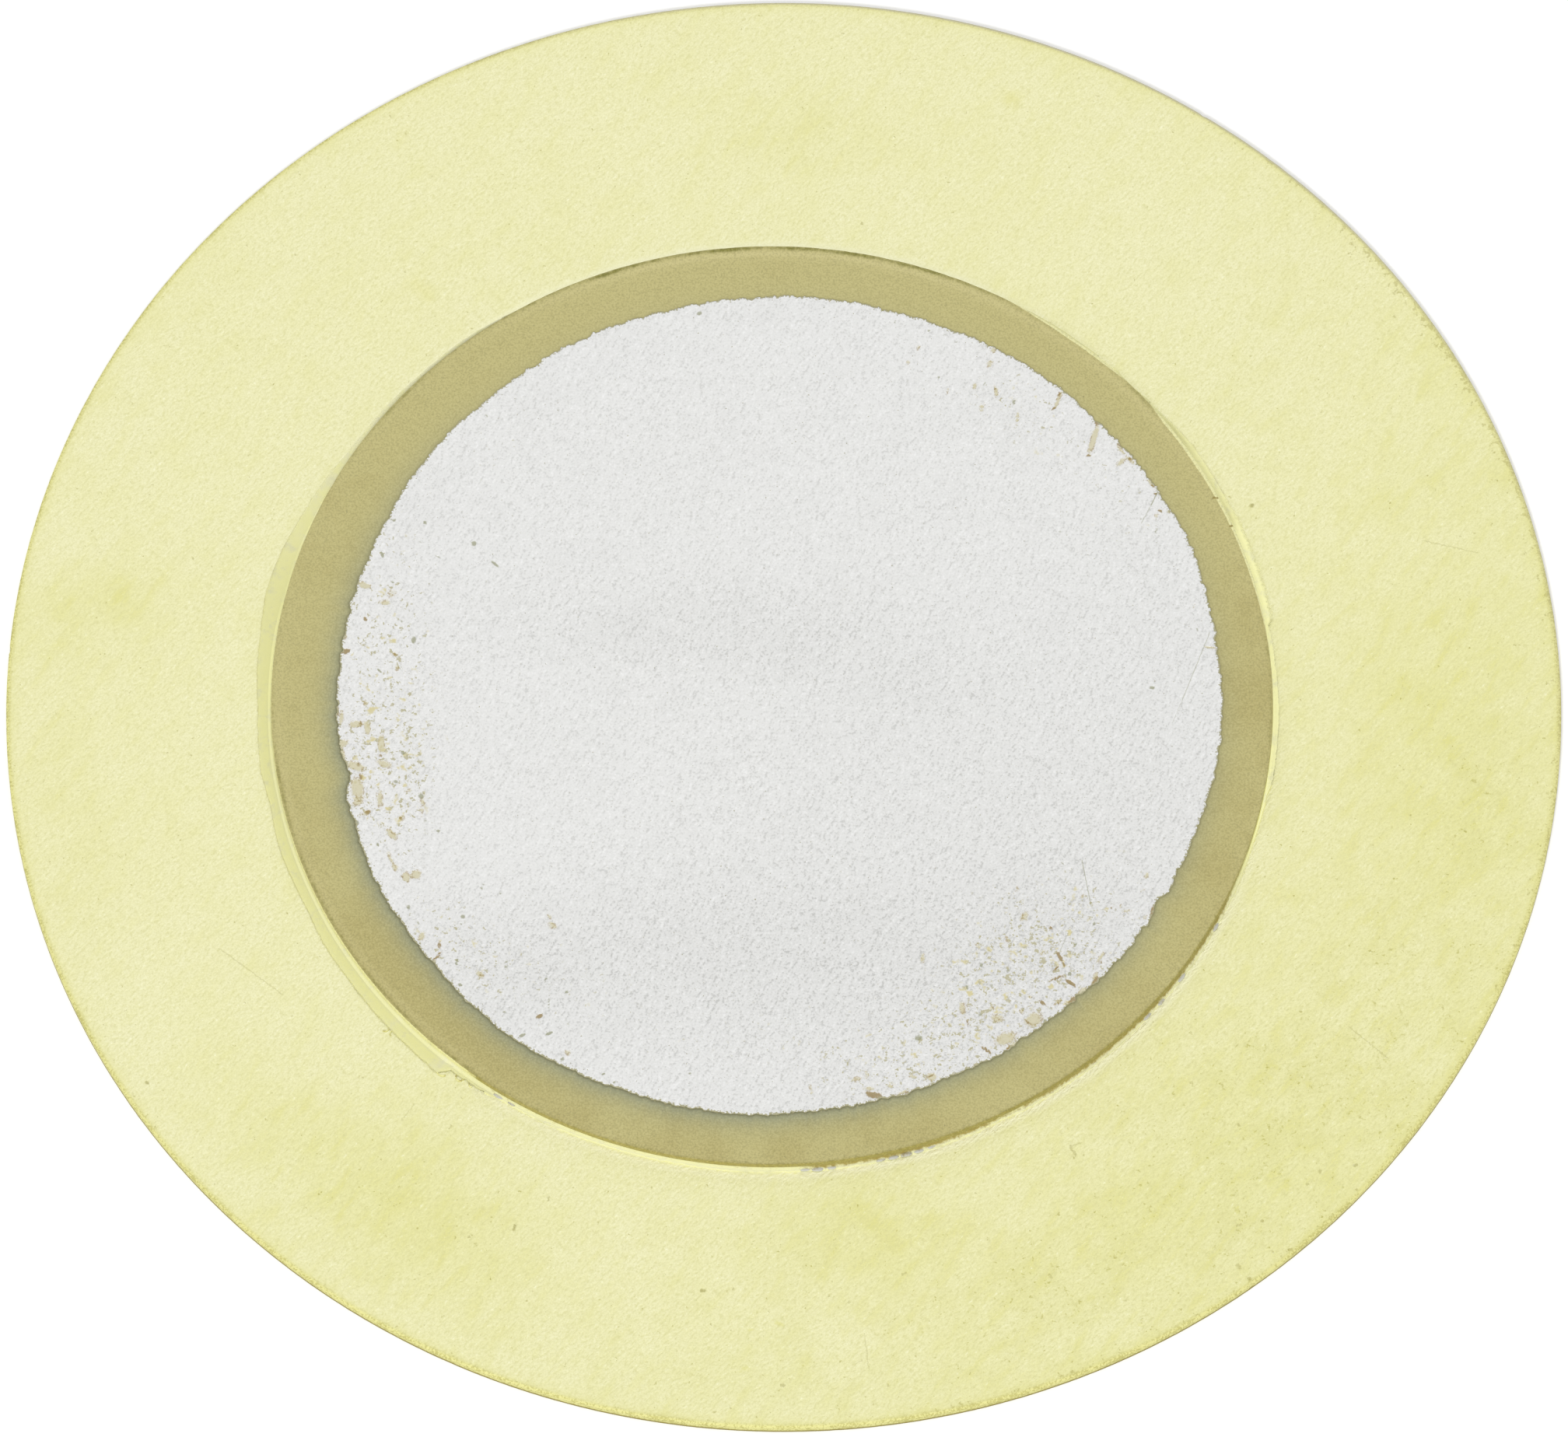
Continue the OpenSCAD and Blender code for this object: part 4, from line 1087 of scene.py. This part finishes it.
def silver_material(silver, centre):
    """Fired silver paste: grainy and matt, with worn, browned and scuffed flecks."""
    look = Look("fired silver", silver.silver)
    spot = look.in_mm(centre)
    wiped = look.effect("Rolled Strokes", spot, math.radians(62), 34.0, 13.0)
    fine = look.swing(wiped, 0.9, look.grain(spot, 44.0, 1.5, 0.6))
    coarse = look.grain(spot, 13.0, 2.0, 0.6)
    blots = look.grain(spot, 2.6, 4.0, 0.7)
    haze = look.painted("haze")
    rub = look.painted("rub")
    worn_paint = look.painted("worn")
    worn = look.effect("Ragged Flecks", spot, worn_paint, 26.0, 0.9)
    brown = look.effect("Ragged Flecks", spot, look.painted("browned"), 32.0, 1.1)
    scuff = look.effect("Ragged Flecks", spot, look.painted("scuffed"), 32.0, 0.7)
    # The browned outline that some worn places have
    outline = look.times(look.rise(worn_paint, 0.08, 0.3), look.rise(worn_paint, 0.75, 0.4))
    outline = look.times(outline, look.rise(fine, 0.5, 0.68))
    # Small flecks where the film is rubbed
    small = look.specks(look.mapped(spot, (3.1, 7.7, 1.0)), 24.0, look.times(rub, 1.15), 0.08)
    stains = look.specks(look.mapped(spot, (9.3, 2.2, 4.0)), 10.0, rub, 0.12)
    crowd = look.sum_of(haze, 0.4, look.sum_of(rub, 0.3, 0.42))
    pits = look.specks(spot, 34.0, crowd, 0.12)
    # Grain, light and dark
    look.coat(silver.shade, haze, 0.22)
    look.coat(silver.shade, look.rise(blots, 0.4, 0.7), 0.08)
    look.coat(silver.shade, look.times(look.rise(fine, 0.5, 0.2), look.sum_of(haze, 0.5, 0.55)))
    look.coat((0.93, 0.93, 0.93), look.rise(fine, 0.55, 0.85), 0.35)
    look.coat(silver.pit, pits, 0.38)
    look.coat(silver.tan, look.times(stains, look.rise(rub, 0.0, 0.9)))
    look.coat(silver.dusty, look.times(small, look.rise(rub, 0.0, 0.7)))
    look.coat(silver.tan, worn, 0.75)
    look.coat(silver.brown, outline, 0.55)
    look.coat(silver.green, scuff, 0.7)
    look.coat(silver.brown, brown, 0.85)
    look.coat(silver.green, look.drawn(look.ragged_place(spot, 40.0, 0.012), SILVER_MARKS))
    # Finest teeth of the printed outline, where the ceramic shows between them
    teeth = look.swing(look.grain(spot, 52.0, 1.0, 0.5), 2.0, look.painted("edge"))
    fringe = look.rise(teeth, 0.42, 0.62)
    look.coat(silver.fringe, fringe)
    bare = look.most(worn, brown, look.times(scuff, 0.6), fringe)
    height = look.calc("SUBTRACT", look.sum_of(coarse, 0.4, fine), bare)
    return look.finish(
        look.sum_of(pits, -0.6, height), 0.002, Metallic=look.sum_of(bare, -0.95, 0.95),
        Roughness=look.sum_of(coarse, 0.14, 0.48),
    )


def adhesive_material(adhesive, centre):
    """Clear cured film: thin over the brass, olive in the corner, glossy, with a painted reflection."""
    look = Look("cured adhesive", adhesive.film)
    spot = look.in_mm(centre)
    fine = look.grain(spot, 24.0, 3.0, 0.65)
    soft = look.grain(spot, 7.0, 3.0, 0.6)
    yellow = look.painted("yellow")
    bright = look.painted("bright")
    frost = look.painted("frosted")
    look.coat(adhesive.yellow, look.rise(look.swing(soft, 0.9, yellow), 0, 1.05))
    # Painted light: the film brightened where it shines
    look.coat(adhesive.bright, bright)
    look.coat(adhesive.dull, look.rise(look.swing(fine, 0.5, soft), 0.52, 0.75), 0.3)
    look.coat(adhesive.dull, look.painted("dull"))
    # Painted reflection on the film, and its whitish flakes
    frosted = look.times(frost, look.rise(look.sum_of(frost, 0.2, soft), 0.4, 0.75))
    look.coat(adhesive.frost, frosted)
    edge = look.rise(look.swing(fine, 1.2, look.painted("border")), 0.3, 1.1)
    look.coat(adhesive.olive, edge, 0.36)
    # Painted shade on the film close behind the ceramic
    painted_shade_behind = look.rise(look.swing(fine, 0.5, look.painted("gloom")), 0.2, 0.9)
    look.coat(adhesive.gloom, painted_shade_behind)
    dark = look.rise(look.swing(fine, 1.3, look.painted("corner")), 0.25, 0.85)
    look.coat(adhesive.olive, dark, 0.9)
    # Clear where it is thin, with a soft outer edge
    alpha = look.most(look.sum_of(yellow, 0.2, 0.78), look.times(frosted, 0.9), look.times(edge, 0.8))
    body = look.rise(look.swing(fine, 0.9, look.painted("body")), 0.1, 0.9)
    alpha = look.most(look.times(alpha, body), look.painted("lip"), dark, painted_shade_behind)
    return look.finish(
        look.sum_of(soft, 1.5, fine), 0.002, Alpha=alpha, Metallic=look.times(bright, 0.9),
        Roughness=look.sum_of(fine, 0.2, 0.36), IOR=1.5, **{"Specular IOR Level": 0.12},
    )


class PIEZO_OT_brass_plate(bpy.types.Operator):
    """Models the stamped brass plate with its rolled-over edge, nicks and tarnish"""

    bl_idname = "piezo.brass_plate"
    bl_label = "Brass Plate"

    def execute(self, context):
        settings = context.scene.piezo_disc
        plate = settings.plate
        roll_w, roll_h = plate.roll_width / MM, plate.roll_drop / MM
        centre = ceramic_centre(settings)
        profile = [(0, 0), (4.0, 0), (PLATE_R - 0.3, 0), (PLATE_R - BURR, 0), (PLATE_R, BURR)]
        profile += [(PLATE_R, z) for z in spaced(0.03, PLATE_TOP - roll_h, 4)]
        for i in range(1, 7):
            t = math.radians(15 * i)
            profile.append((PLATE_R - roll_w * (1 - math.cos(t)), PLATE_TOP - roll_h * (1 - math.sin(t))))
        radii = spaced(PLATE_R - 0.05, PLATE_R - 0.35, 11) + spaced(PLATE_R - 0.45, 4.3, 20) + [2.5, 0]
        bm = spin_profile(profile + [(r, PLATE_TOP) for r in radii], plate.steps, PLATE_LAYERS)

        def nicked(radius, angle, height):
            near = ease((radius - (PLATE_R - RIM_ZONE)) / RIM_ZONE)
            rough = RIM_ROUGH * (1 - ring_noise(angle, (1, 900, 2.5))) * 0.5
            cut = dent(angle, RIM_NICKS) * ease(height / PLATE_TOP)
            return radius - near * (rough + cut), height

        def tones(x, y, height):
            angle = angle_of(x, y)
            inside = PLATE_R - math.hypot(x, y)
            # How strongly painted light brightens the brass around the ceramic
            found = {"halo": by_angle(HALO_BY_ANGLE, angle_of(x - centre[0], y - centre[1]))}
            if inside <= 1:
                reach = by_angle(RIM_REACH_BY_ANGLE, angle)
                found["tarnish"] = by_angle(RIM_BY_ANGLE, angle) * math.exp(-inside / reach)
                found["border"] = math.exp(-inside / 0.05)
                # Painted grey shade on the rolled edge
                found["greyed"] = by_angle(GREY_BY_ANGLE, angle) * ease((0.035 - inside) / 0.02)
                found["wall"] = ease((0.055 - inside) / 0.05)
                # Painted shade, darker towards the foot of the wall
                found["foot"] = ease((0.06 - height) / 0.05)
            return found

        reshape(bm, nicked)
        paint_marks(bm, PLATE_TOP, {"mellow": MELLOW_PATCHES, "soil": SOILED_PATCHES})
        fill_layers(bm, tones)
        material = brass_material(plate, centre, ceramic_radius(settings))
        finish_piece("brass_plate_finish", bm, material, "brass_plate")
        return {"FINISHED"}


class PIEZO_OT_adhesive(bpy.types.Operator):
    """Models the adhesive film with its smears, its lip up the ceramic and its pocket"""

    bl_idname = "piezo.adhesive"
    bl_label = "Adhesive Film"

    def execute(self, context):
        settings = context.scene.piezo_disc
        adhesive = settings.adhesive
        ceramic_r = ceramic_radius(settings)
        pocket_r = ceramic_r - settings.silver.lower_margin / MM
        sunk = PLATE_TOP - FILM_SUNK
        # Across the visible film, radii run from 0 at the ceramic to 1 at the film's edge
        rows = [(0.0, LIP_TOP), (0.06, 0.148), (0.14, 0.137), (0.25, 0.128), (0.4, 0.122), (0.6, FILM_TOP),
                (0.78, 0.119), (0.9, 0.116), (0.97, 0.110), (1.0, 0.104)]
        profile = [(0, sunk), (pocket_r, sunk), (ceramic_r, sunk), (ceramic_r + 1.0, sunk)]
        profile += [(ceramic_r + t, z) for t, z in reversed(rows)]
        profile += [(ceramic_r, FILM_TOP), (pocket_r, FILM_TOP), (pocket_r, FILM_FLOOR), (0, FILM_FLOOR)]
        bm = spin_profile(profile, adhesive.steps, ADHESIVE_LAYERS)

        def spread(radius, angle, height):
            if radius <= ceramic_r + 1e-5:
                return radius, height
            width = lip_edge(adhesive, ceramic_r, angle) - ceramic_r
            climb = min(1, 0.03 / width)
            near = (radius - ceramic_r) ** (1 + 1.2 * (1 - climb))
            # Clear film on the side away from the lamp lies nearly flat
            low = 0.85 * by_angle(BRIGHT_BY_ANGLE, angle) * max(0, height - FILM_TOP)
            return ceramic_r + width * near, height - low

        def tones(x, y, height):
            angle = angle_of(x, y)
            out = math.hypot(x, y) - ceramic_r
            width = lip_edge(adhesive, ceramic_r, angle) - ceramic_r
            border = by_angle(BORDER_BY_ANGLE, angle) * fade(width - 0.012 - out, 0.014)
            return {
                "corner": by_angle(CORNER_BY_ANGLE, angle) * fade(out, 0.018),
                # Painted shade close behind the ceramic
                "gloom": by_angle(GLOOM_BY_ANGLE, angle) * fade(out - 0.01, 0.01),
                "border": border * ease((width - 0.05) / 0.05),
                "yellow": by_angle(YELLOW_BY_ANGLE, angle),
                # Painted light on the film
                "bright": by_angle(BRIGHT_BY_ANGLE, angle),
                "dull": by_angle(DULL_BY_ANGLE, angle) * ease((0.055 - out) / 0.03),
                # Painted reflection, and whitish flakes near the curls
                "frosted": by_angle(SHEEN_AND_FLAKES_BY_ANGLE, angle),
                "lip": ease((0.045 - out) / 0.02),
                "body": ease((width - out) / by_angle(SOFT_BY_ANGLE, angle)) if width > 0.05 else 1,
            }

        reshape(bm, spread)
        fill_layers(bm, tones)
        centre = ceramic_centre(settings)
        material = adhesive_material(adhesive, centre)
        finish_piece("adhesive_film", bm, material, "bond_layer", centre, 60)
        return {"FINISHED"}


class PIEZO_OT_adhesive_crumbs(bpy.types.Operator):
    """Models the beads and curled threads of adhesive along the ceramic's edge"""

    bl_idname = "piezo.adhesive_crumbs"
    bl_label = "Adhesive Crumbs"

    def execute(self, context):
        settings = context.scene.piezo_disc
        ceramic_r = ceramic_radius(settings)
        bm = bmesh.new()
        for name in ADHESIVE_LAYERS:
            bm.verts.layers.float.new(name)
        layers = bm.verts.layers.float

        def settle(verts, thing, **tones):
            """Turns a bead or curl to its direction, lays it on the plate, scales it and paints it."""
            drop = PLATE_TOP + CRUMB_GAP - min(vert.co.z for vert in verts)
            bmesh.ops.translate(bm, verts=verts, vec=(ceramic_r + thing.out, 0, drop))
            turn_verts(bm, verts, math.radians(thing.angle))
            bmesh.ops.scale(bm, verts=verts, vec=(MM, MM, MM))
            for vert in verts:
                for name, value in tones.items():
                    vert[layers[name]] = value

        for number, bead in enumerate(BEADS):
            made = bmesh.ops.create_icosphere(bm, subdivisions=3, radius=1.0)["verts"]
            for vert in made:
                rough = 1 + 0.16 * noise.noise(vert.co * 1.7 + Vector((number * 3.1, 0, 0)))
                sized = (vert.co.x * bead.wide, vert.co.y * bead.long, vert.co.z * bead.high)
                vert.co = Vector(sized) * rough / 2
            settle(made, bead, corner=bead.olive, dull=1, lip=1)
        for curl in CURLS:
            made = bmesh.ops.create_circle(bm, cap_ends=False, segments=10, radius=THREAD)["verts"]
            turn_verts(bm, made, math.radians(90), "X")
            bmesh.ops.translate(bm, verts=made, vec=(curl.radius, 0, 0))
            before = set(bm.verts) - set(made)
            ring = made + list({edge for vert in made for edge in vert.link_edges})
            spin_round(bm, ring, math.radians(curl.turn), 24)
            thread = [vert for vert in bm.verts if vert not in before]
            own = set(thread)
            ends = [edge for edge in bm.edges if edge.is_boundary and edge.verts[0] in own]
            bmesh.ops.holes_fill(bm, edges=ends, sides=0)
            turn_verts(bm, thread, math.radians(curl.start))
            settle(thread, curl, corner=0.45, lip=1)
        bmesh.ops.recalc_face_normals(bm, faces=bm.faces)
        material = bpy.data.materials["cured adhesive"]
        finish_piece("adhesive_crumbs", bm, material, None, ceramic_centre(settings), 60)
        return {"FINISHED"}


class PIEZO_OT_lower_electrode(bpy.types.Operator):
    """Models the plain silver film on the ceramic's underside"""

    bl_idname = "piezo.lower_electrode"
    bl_label = "Lower Electrode"

    def execute(self, context):
        settings = context.scene.piezo_disc
        radius = (settings.ceramic.diameter / 2 - settings.silver.lower_margin) / MM
        soft = 0.003
        profile = [(0, FILM_FLOOR), (radius - soft, FILM_FLOOR), (radius, FILM_FLOOR + soft)]
        bm = spin_profile(profile + [(radius, FILM_TOP), (0, FILM_TOP)], 360, SILVER_LAYERS)
        material = bpy.data.materials["fired silver"]
        centre = ceramic_centre(settings)
        finish_piece("lower_electrode_finish", bm, material, "lower_electrode", centre)
        return {"FINISHED"}


class PIEZO_OT_ceramic_disc(bpy.types.Operator):
    """Models the fired ceramic disc with its broken upper edge"""

    bl_idname = "piezo.ceramic_disc"
    bl_label = "Ceramic Disc"

    def execute(self, context):
        settings = context.scene.piezo_disc
        ceramic, silver = settings.ceramic, settings.silver
        radius = ceramic_radius(settings)
        edge_break = ceramic.edge_break / MM
        print_r = radius - silver.upper_margin / MM
        shift_x, shift_y = silver.shift_x / MM, silver.shift_y / MM
        flat = radius - edge_break
        inner = print_r - RING_LAP
        profile = [(0, CERAMIC_BASE), (radius - 0.003, CERAMIC_BASE), (radius, CERAMIC_BASE + 0.003)]
        profile += [(radius, z) for z in spaced(CERAMIC_BASE + 0.02, CERAMIC_TOP - edge_break, 4)]
        profile += [(radius - 0.3 * edge_break, CERAMIC_TOP - 0.35 * edge_break)]
        profile += [(inner + (flat - inner) * s, CERAMIC_TOP) for s in reversed(RING_SHARES)]
        profile += [(2.0, CERAMIC_TOP), (0, CERAMIC_TOP)]
        bm = spin_profile(profile, ceramic.steps, CERAMIC_LAYERS)

        def follow(r, angle, height):
            chip = sum(max(0, ring_noise(angle, wave)) for wave in CHIP_NOISE)
            if height < CERAMIC_TOP - 1e-5 or r > flat - 1e-4:
                return r - (chip if height > CERAMIC_TOP - 0.02 else 0.3 * chip), height
            if r < inner - 1e-4:
                return r, height
            # The rings close to the silver follow its outline
            turn = math.radians(angle)
            edge = print_edge(silver, print_r, angle)
            edge += shift_x * math.cos(turn) + shift_y * math.sin(turn)
            share = (r - inner) / (flat - inner)
            return (edge - RING_LAP) + (flat - chip - edge + RING_LAP) * share, height

        def tones(x, y, height):
            inside = radius - math.hypot(x, y)
            if inside > 1:
                return {}
            angle = angle_of(x, y)
            pale = by_angle(MARGIN_BY_ANGLE, angle)
            # The dark line: painted shadow along the far edge, a dark olive line elsewhere
            dark = by_angle(LINE_BY_ANGLE, angle) * (1 + 0.5 * ring_noise(angle, *LINE_NOISE))
            wide = 0.012 + 0.012 * min(1, dark)
            found = {
                "line": dark * math.exp(-((inside - pale - wide) / wide) ** 2),
                "glint": by_angle(GLINT_BY_ANGLE, angle) * math.exp(-((inside - 0.078) / 0.03) ** 2),
                "lit": by_angle(LIT_BY_ANGLE, angle),
                "margin": ease((pale - inside) / 0.012 + 0.5) if pale > 0 else 0,
                "smeared": by_angle(WALL_BY_ANGLE, angle) * math.exp(-(inside / 0.014) ** 2),
            }
            if height >= CERAMIC_TOP - 1e-4:
                x, y = x - shift_x, y - shift_y
                angle = angle_of(x, y)
                gap = max(0, math.hypot(x, y) - print_edge(silver, print_r, angle))
                greyed = by_angle(COOL_BY_ANGLE, angle)
                found["cool"] = greyed * math.exp(-(gap / 0.13) ** 1.4)
                found["seam"] = (0.3 + 0.5 * greyed) * fade(gap, 0.028)
            return found

        reshape(bm, follow)
        fill_layers(bm, tones)
        centre = ceramic_centre(settings)
        material = ceramic_material(ceramic, centre)
        finish_piece("ceramic_disc_finish", bm, material, "ceramic_disc", centre)
        return {"FINISHED"}


class PIEZO_OT_upper_electrode(bpy.types.Operator):
    """Models the printed silver film with its ragged outline and worn flecks"""

    bl_idname = "piezo.upper_electrode"
    bl_label = "Upper Electrode"

    def execute(self, context):
        settings = context.scene.piezo_disc
        silver = settings.silver
        centre = silver_centre(settings)
        radius = (settings.ceramic.diameter / 2 - silver.upper_margin) / MM
        soft = 0.004
        profile = [(0, SILVER_BASE), (radius, SILVER_BASE), (radius, SILVER_TOP - soft)]
        profile += [(radius - 0.3 * soft, SILVER_TOP - 0.3 * soft)]
        depths = [0.006] + spaced(0.02, 0.44, 22) + spaced(0.475, 1.28, 23) + spaced(1.4, 3.6, 9)
        profile += [(radius - depth, SILVER_TOP) for depth in depths]
        bm = spin_profile(profile + [(0, SILVER_TOP)], silver.steps, SILVER_LAYERS)

        def ragged(r, angle, height):
            keep = ease((r - (radius - 0.5)) / 0.5)
            return r + keep * (print_edge(silver, radius, angle) - radius), height

        def tones(x, y, height):
            depth = print_edge(silver, radius, angle_of(x, y)) - math.hypot(x, y)
            return {"edge": fade(depth, 0.014) if depth < 0.2 else 0}

        reshape(bm, ragged)
        paint_marks(bm, SILVER_TOP, {
            "haze": HAZE_PATCHES, "rub": RUBBED_PATCHES, "worn": WORN_FLECKS, "browned": BROWN_FLECKS,
            "scuffed": SCUFF_FLECKS,
        })
        fill_layers(bm, tones)
        material = silver_material(silver, centre)
        finish_piece("upper_electrode_finish", bm, material, "upper_electrode", centre)
        return {"FINISHED"}


def look_at(thing, target):
    """Turns a camera or lamp to look at a point."""
    thing.rotation_mode = "QUATERNION"
    thing.rotation_quaternion = (target - thing.location).to_track_quat("-Z", "Y")


def floor_material(studio):
    """A pale floor that reads as white where no shadow falls on it."""
    material = bpy.data.materials.new("studio floor")
    nodes = Nodes(empty_tree(material))
    matt = nodes.add("ShaderNodeBsdfDiffuse", {"Color": (*studio.floor, 1)}).outputs[0]
    glow = nodes.add("ShaderNodeEmission", {"Color": (1, 1, 1, 1), "Strength": FLOOR_GLOW}).outputs[0]
    both = nodes.add("ShaderNodeAddShader", {0: matt, 1: glow}).outputs[0]
    mix = nodes.add("ShaderNodeMixShader", {0: nodes.seen(), 1: matt, 2: both}).outputs[0]
    nodes.add("ShaderNodeOutputMaterial", {"Surface": mix})
    return material


class PIEZO_OT_studio(bpy.types.Operator):
    """Sets up the pale floor, the soft light and the camera at the photograph's angle"""

    bl_idname = "piezo.studio"
    bl_label = "Studio"

    def execute(self, context):
        studio = context.scene.piezo_disc.studio
        scene = context.scene
        bm = bmesh.new()
        bmesh.ops.create_grid(bm, x_segments=2, y_segments=2, size=2.0)
        bmesh.ops.translate(bm, verts=bm.verts, vec=(0, 0, -1e-6))
        mesh = bpy.data.meshes.new("studio_floor")
        bm.to_mesh(mesh)
        bm.free()
        mesh.materials.append(floor_material(studio))
        floor = bpy.data.objects.new("studio_floor", mesh)
        scene.collection.objects.link(floor)

        world = bpy.data.worlds.new("studio light")
        nodes = Nodes(empty_tree(world))
        fill, white = (
            nodes.add("ShaderNodeBackground", {"Color": (1, 1, 1, 1), "Strength": strength}).outputs[0]
            for strength in (studio.fill, 1.0)
        )
        mix = nodes.add("ShaderNodeMixShader", {0: nodes.seen(), 1: fill, 2: white}).outputs[0]
        nodes.add("ShaderNodeOutputWorld", {"Surface": mix})
        scene.world = world

        target = Vector((studio.aim_x, studio.aim_y, 0))
        lamp = bpy.data.lights.new("key lamp", "AREA")
        lamp.shape = "DISK"
        lamp.size = LAMP_SIZE
        lamp.energy = studio.key
        key = bpy.data.objects.new("key lamp", lamp)
        a, e = math.radians(LAMP_AZIMUTH), math.radians(LAMP_ELEVATION)
        toward = Vector((math.cos(a) * math.cos(e), math.sin(a) * math.cos(e), math.sin(e)))
        key.location = target + LAMP_DISTANCE * toward

        lens = bpy.data.cameras.new("camera")
        lens.lens = studio.lens
        lens.sensor_width = 36
        lens.clip_start = 0.01
        lens.clip_end = 10
        camera = bpy.data.objects.new("camera", lens)
        back = Vector((0, -math.cos(studio.elevation), math.sin(studio.elevation)))
        camera.location = target + back * studio.distance
        for thing in (key, camera):
            scene.collection.objects.link(thing)
            look_at(thing, target)
        scene.camera = camera
        scene.view_settings.view_transform = "Standard"
        return {"FINISHED"}


class VIEW3D_PT_piezo_disc(bpy.types.Panel):
    """Lists the steps that build the piezo disc"""

    bl_label = "Piezo Disc"
    bl_category = "Piezo Disc"
    bl_space_type = "VIEW_3D"
    bl_region_type = "UI"

    def draw(self, context):
        column = self.layout.column()
        for step in STEPS:
            column.operator(step.bl_idname)
        settings = context.scene.piezo_disc
        for title in ("plate", "ceramic", "silver", "adhesive", "studio"):
            box = self.layout.box()
            box.label(text=title.capitalize())
            group = getattr(settings, title)
            for key in group.bl_rna.properties.keys():
                if key not in ("name", "rna_type"):
                    box.prop(group, key)


# In the order in which they run: the lower electrode takes the upper one's finish
STEPS = (
    PIEZO_OT_brass_plate, PIEZO_OT_adhesive, PIEZO_OT_adhesive_crumbs, PIEZO_OT_ceramic_disc,
    PIEZO_OT_upper_electrode, PIEZO_OT_lower_electrode, PIEZO_OT_studio,
)
CLASSES = (
    PlateSettings, CeramicSettings, SilverSettings, AdhesiveSettings, StudioSettings, PiezoSettings,
    *STEPS, VIEW3D_PT_piezo_disc,
)


def register():
    """Registers the settings, the steps and the panel."""
    for kind in CLASSES:
        bpy.utils.register_class(kind)
    bpy.types.Scene.piezo_disc = PointerProperty(type=PiezoSettings)


def unregister():
    """Takes everything out again."""
    del bpy.types.Scene.piezo_disc
    for kind in reversed(CLASSES):
        bpy.utils.unregister_class(kind)


def main():
    """Builds every piece and the stage."""
    register()
    bpy.ops.piezo.brass_plate()
    bpy.ops.piezo.adhesive()
    bpy.ops.piezo.adhesive_crumbs()
    bpy.ops.piezo.ceramic_disc()
    bpy.ops.piezo.upper_electrode()
    bpy.ops.piezo.lower_electrode()
    bpy.ops.piezo.studio()


if __name__ == "__main__":
    main()
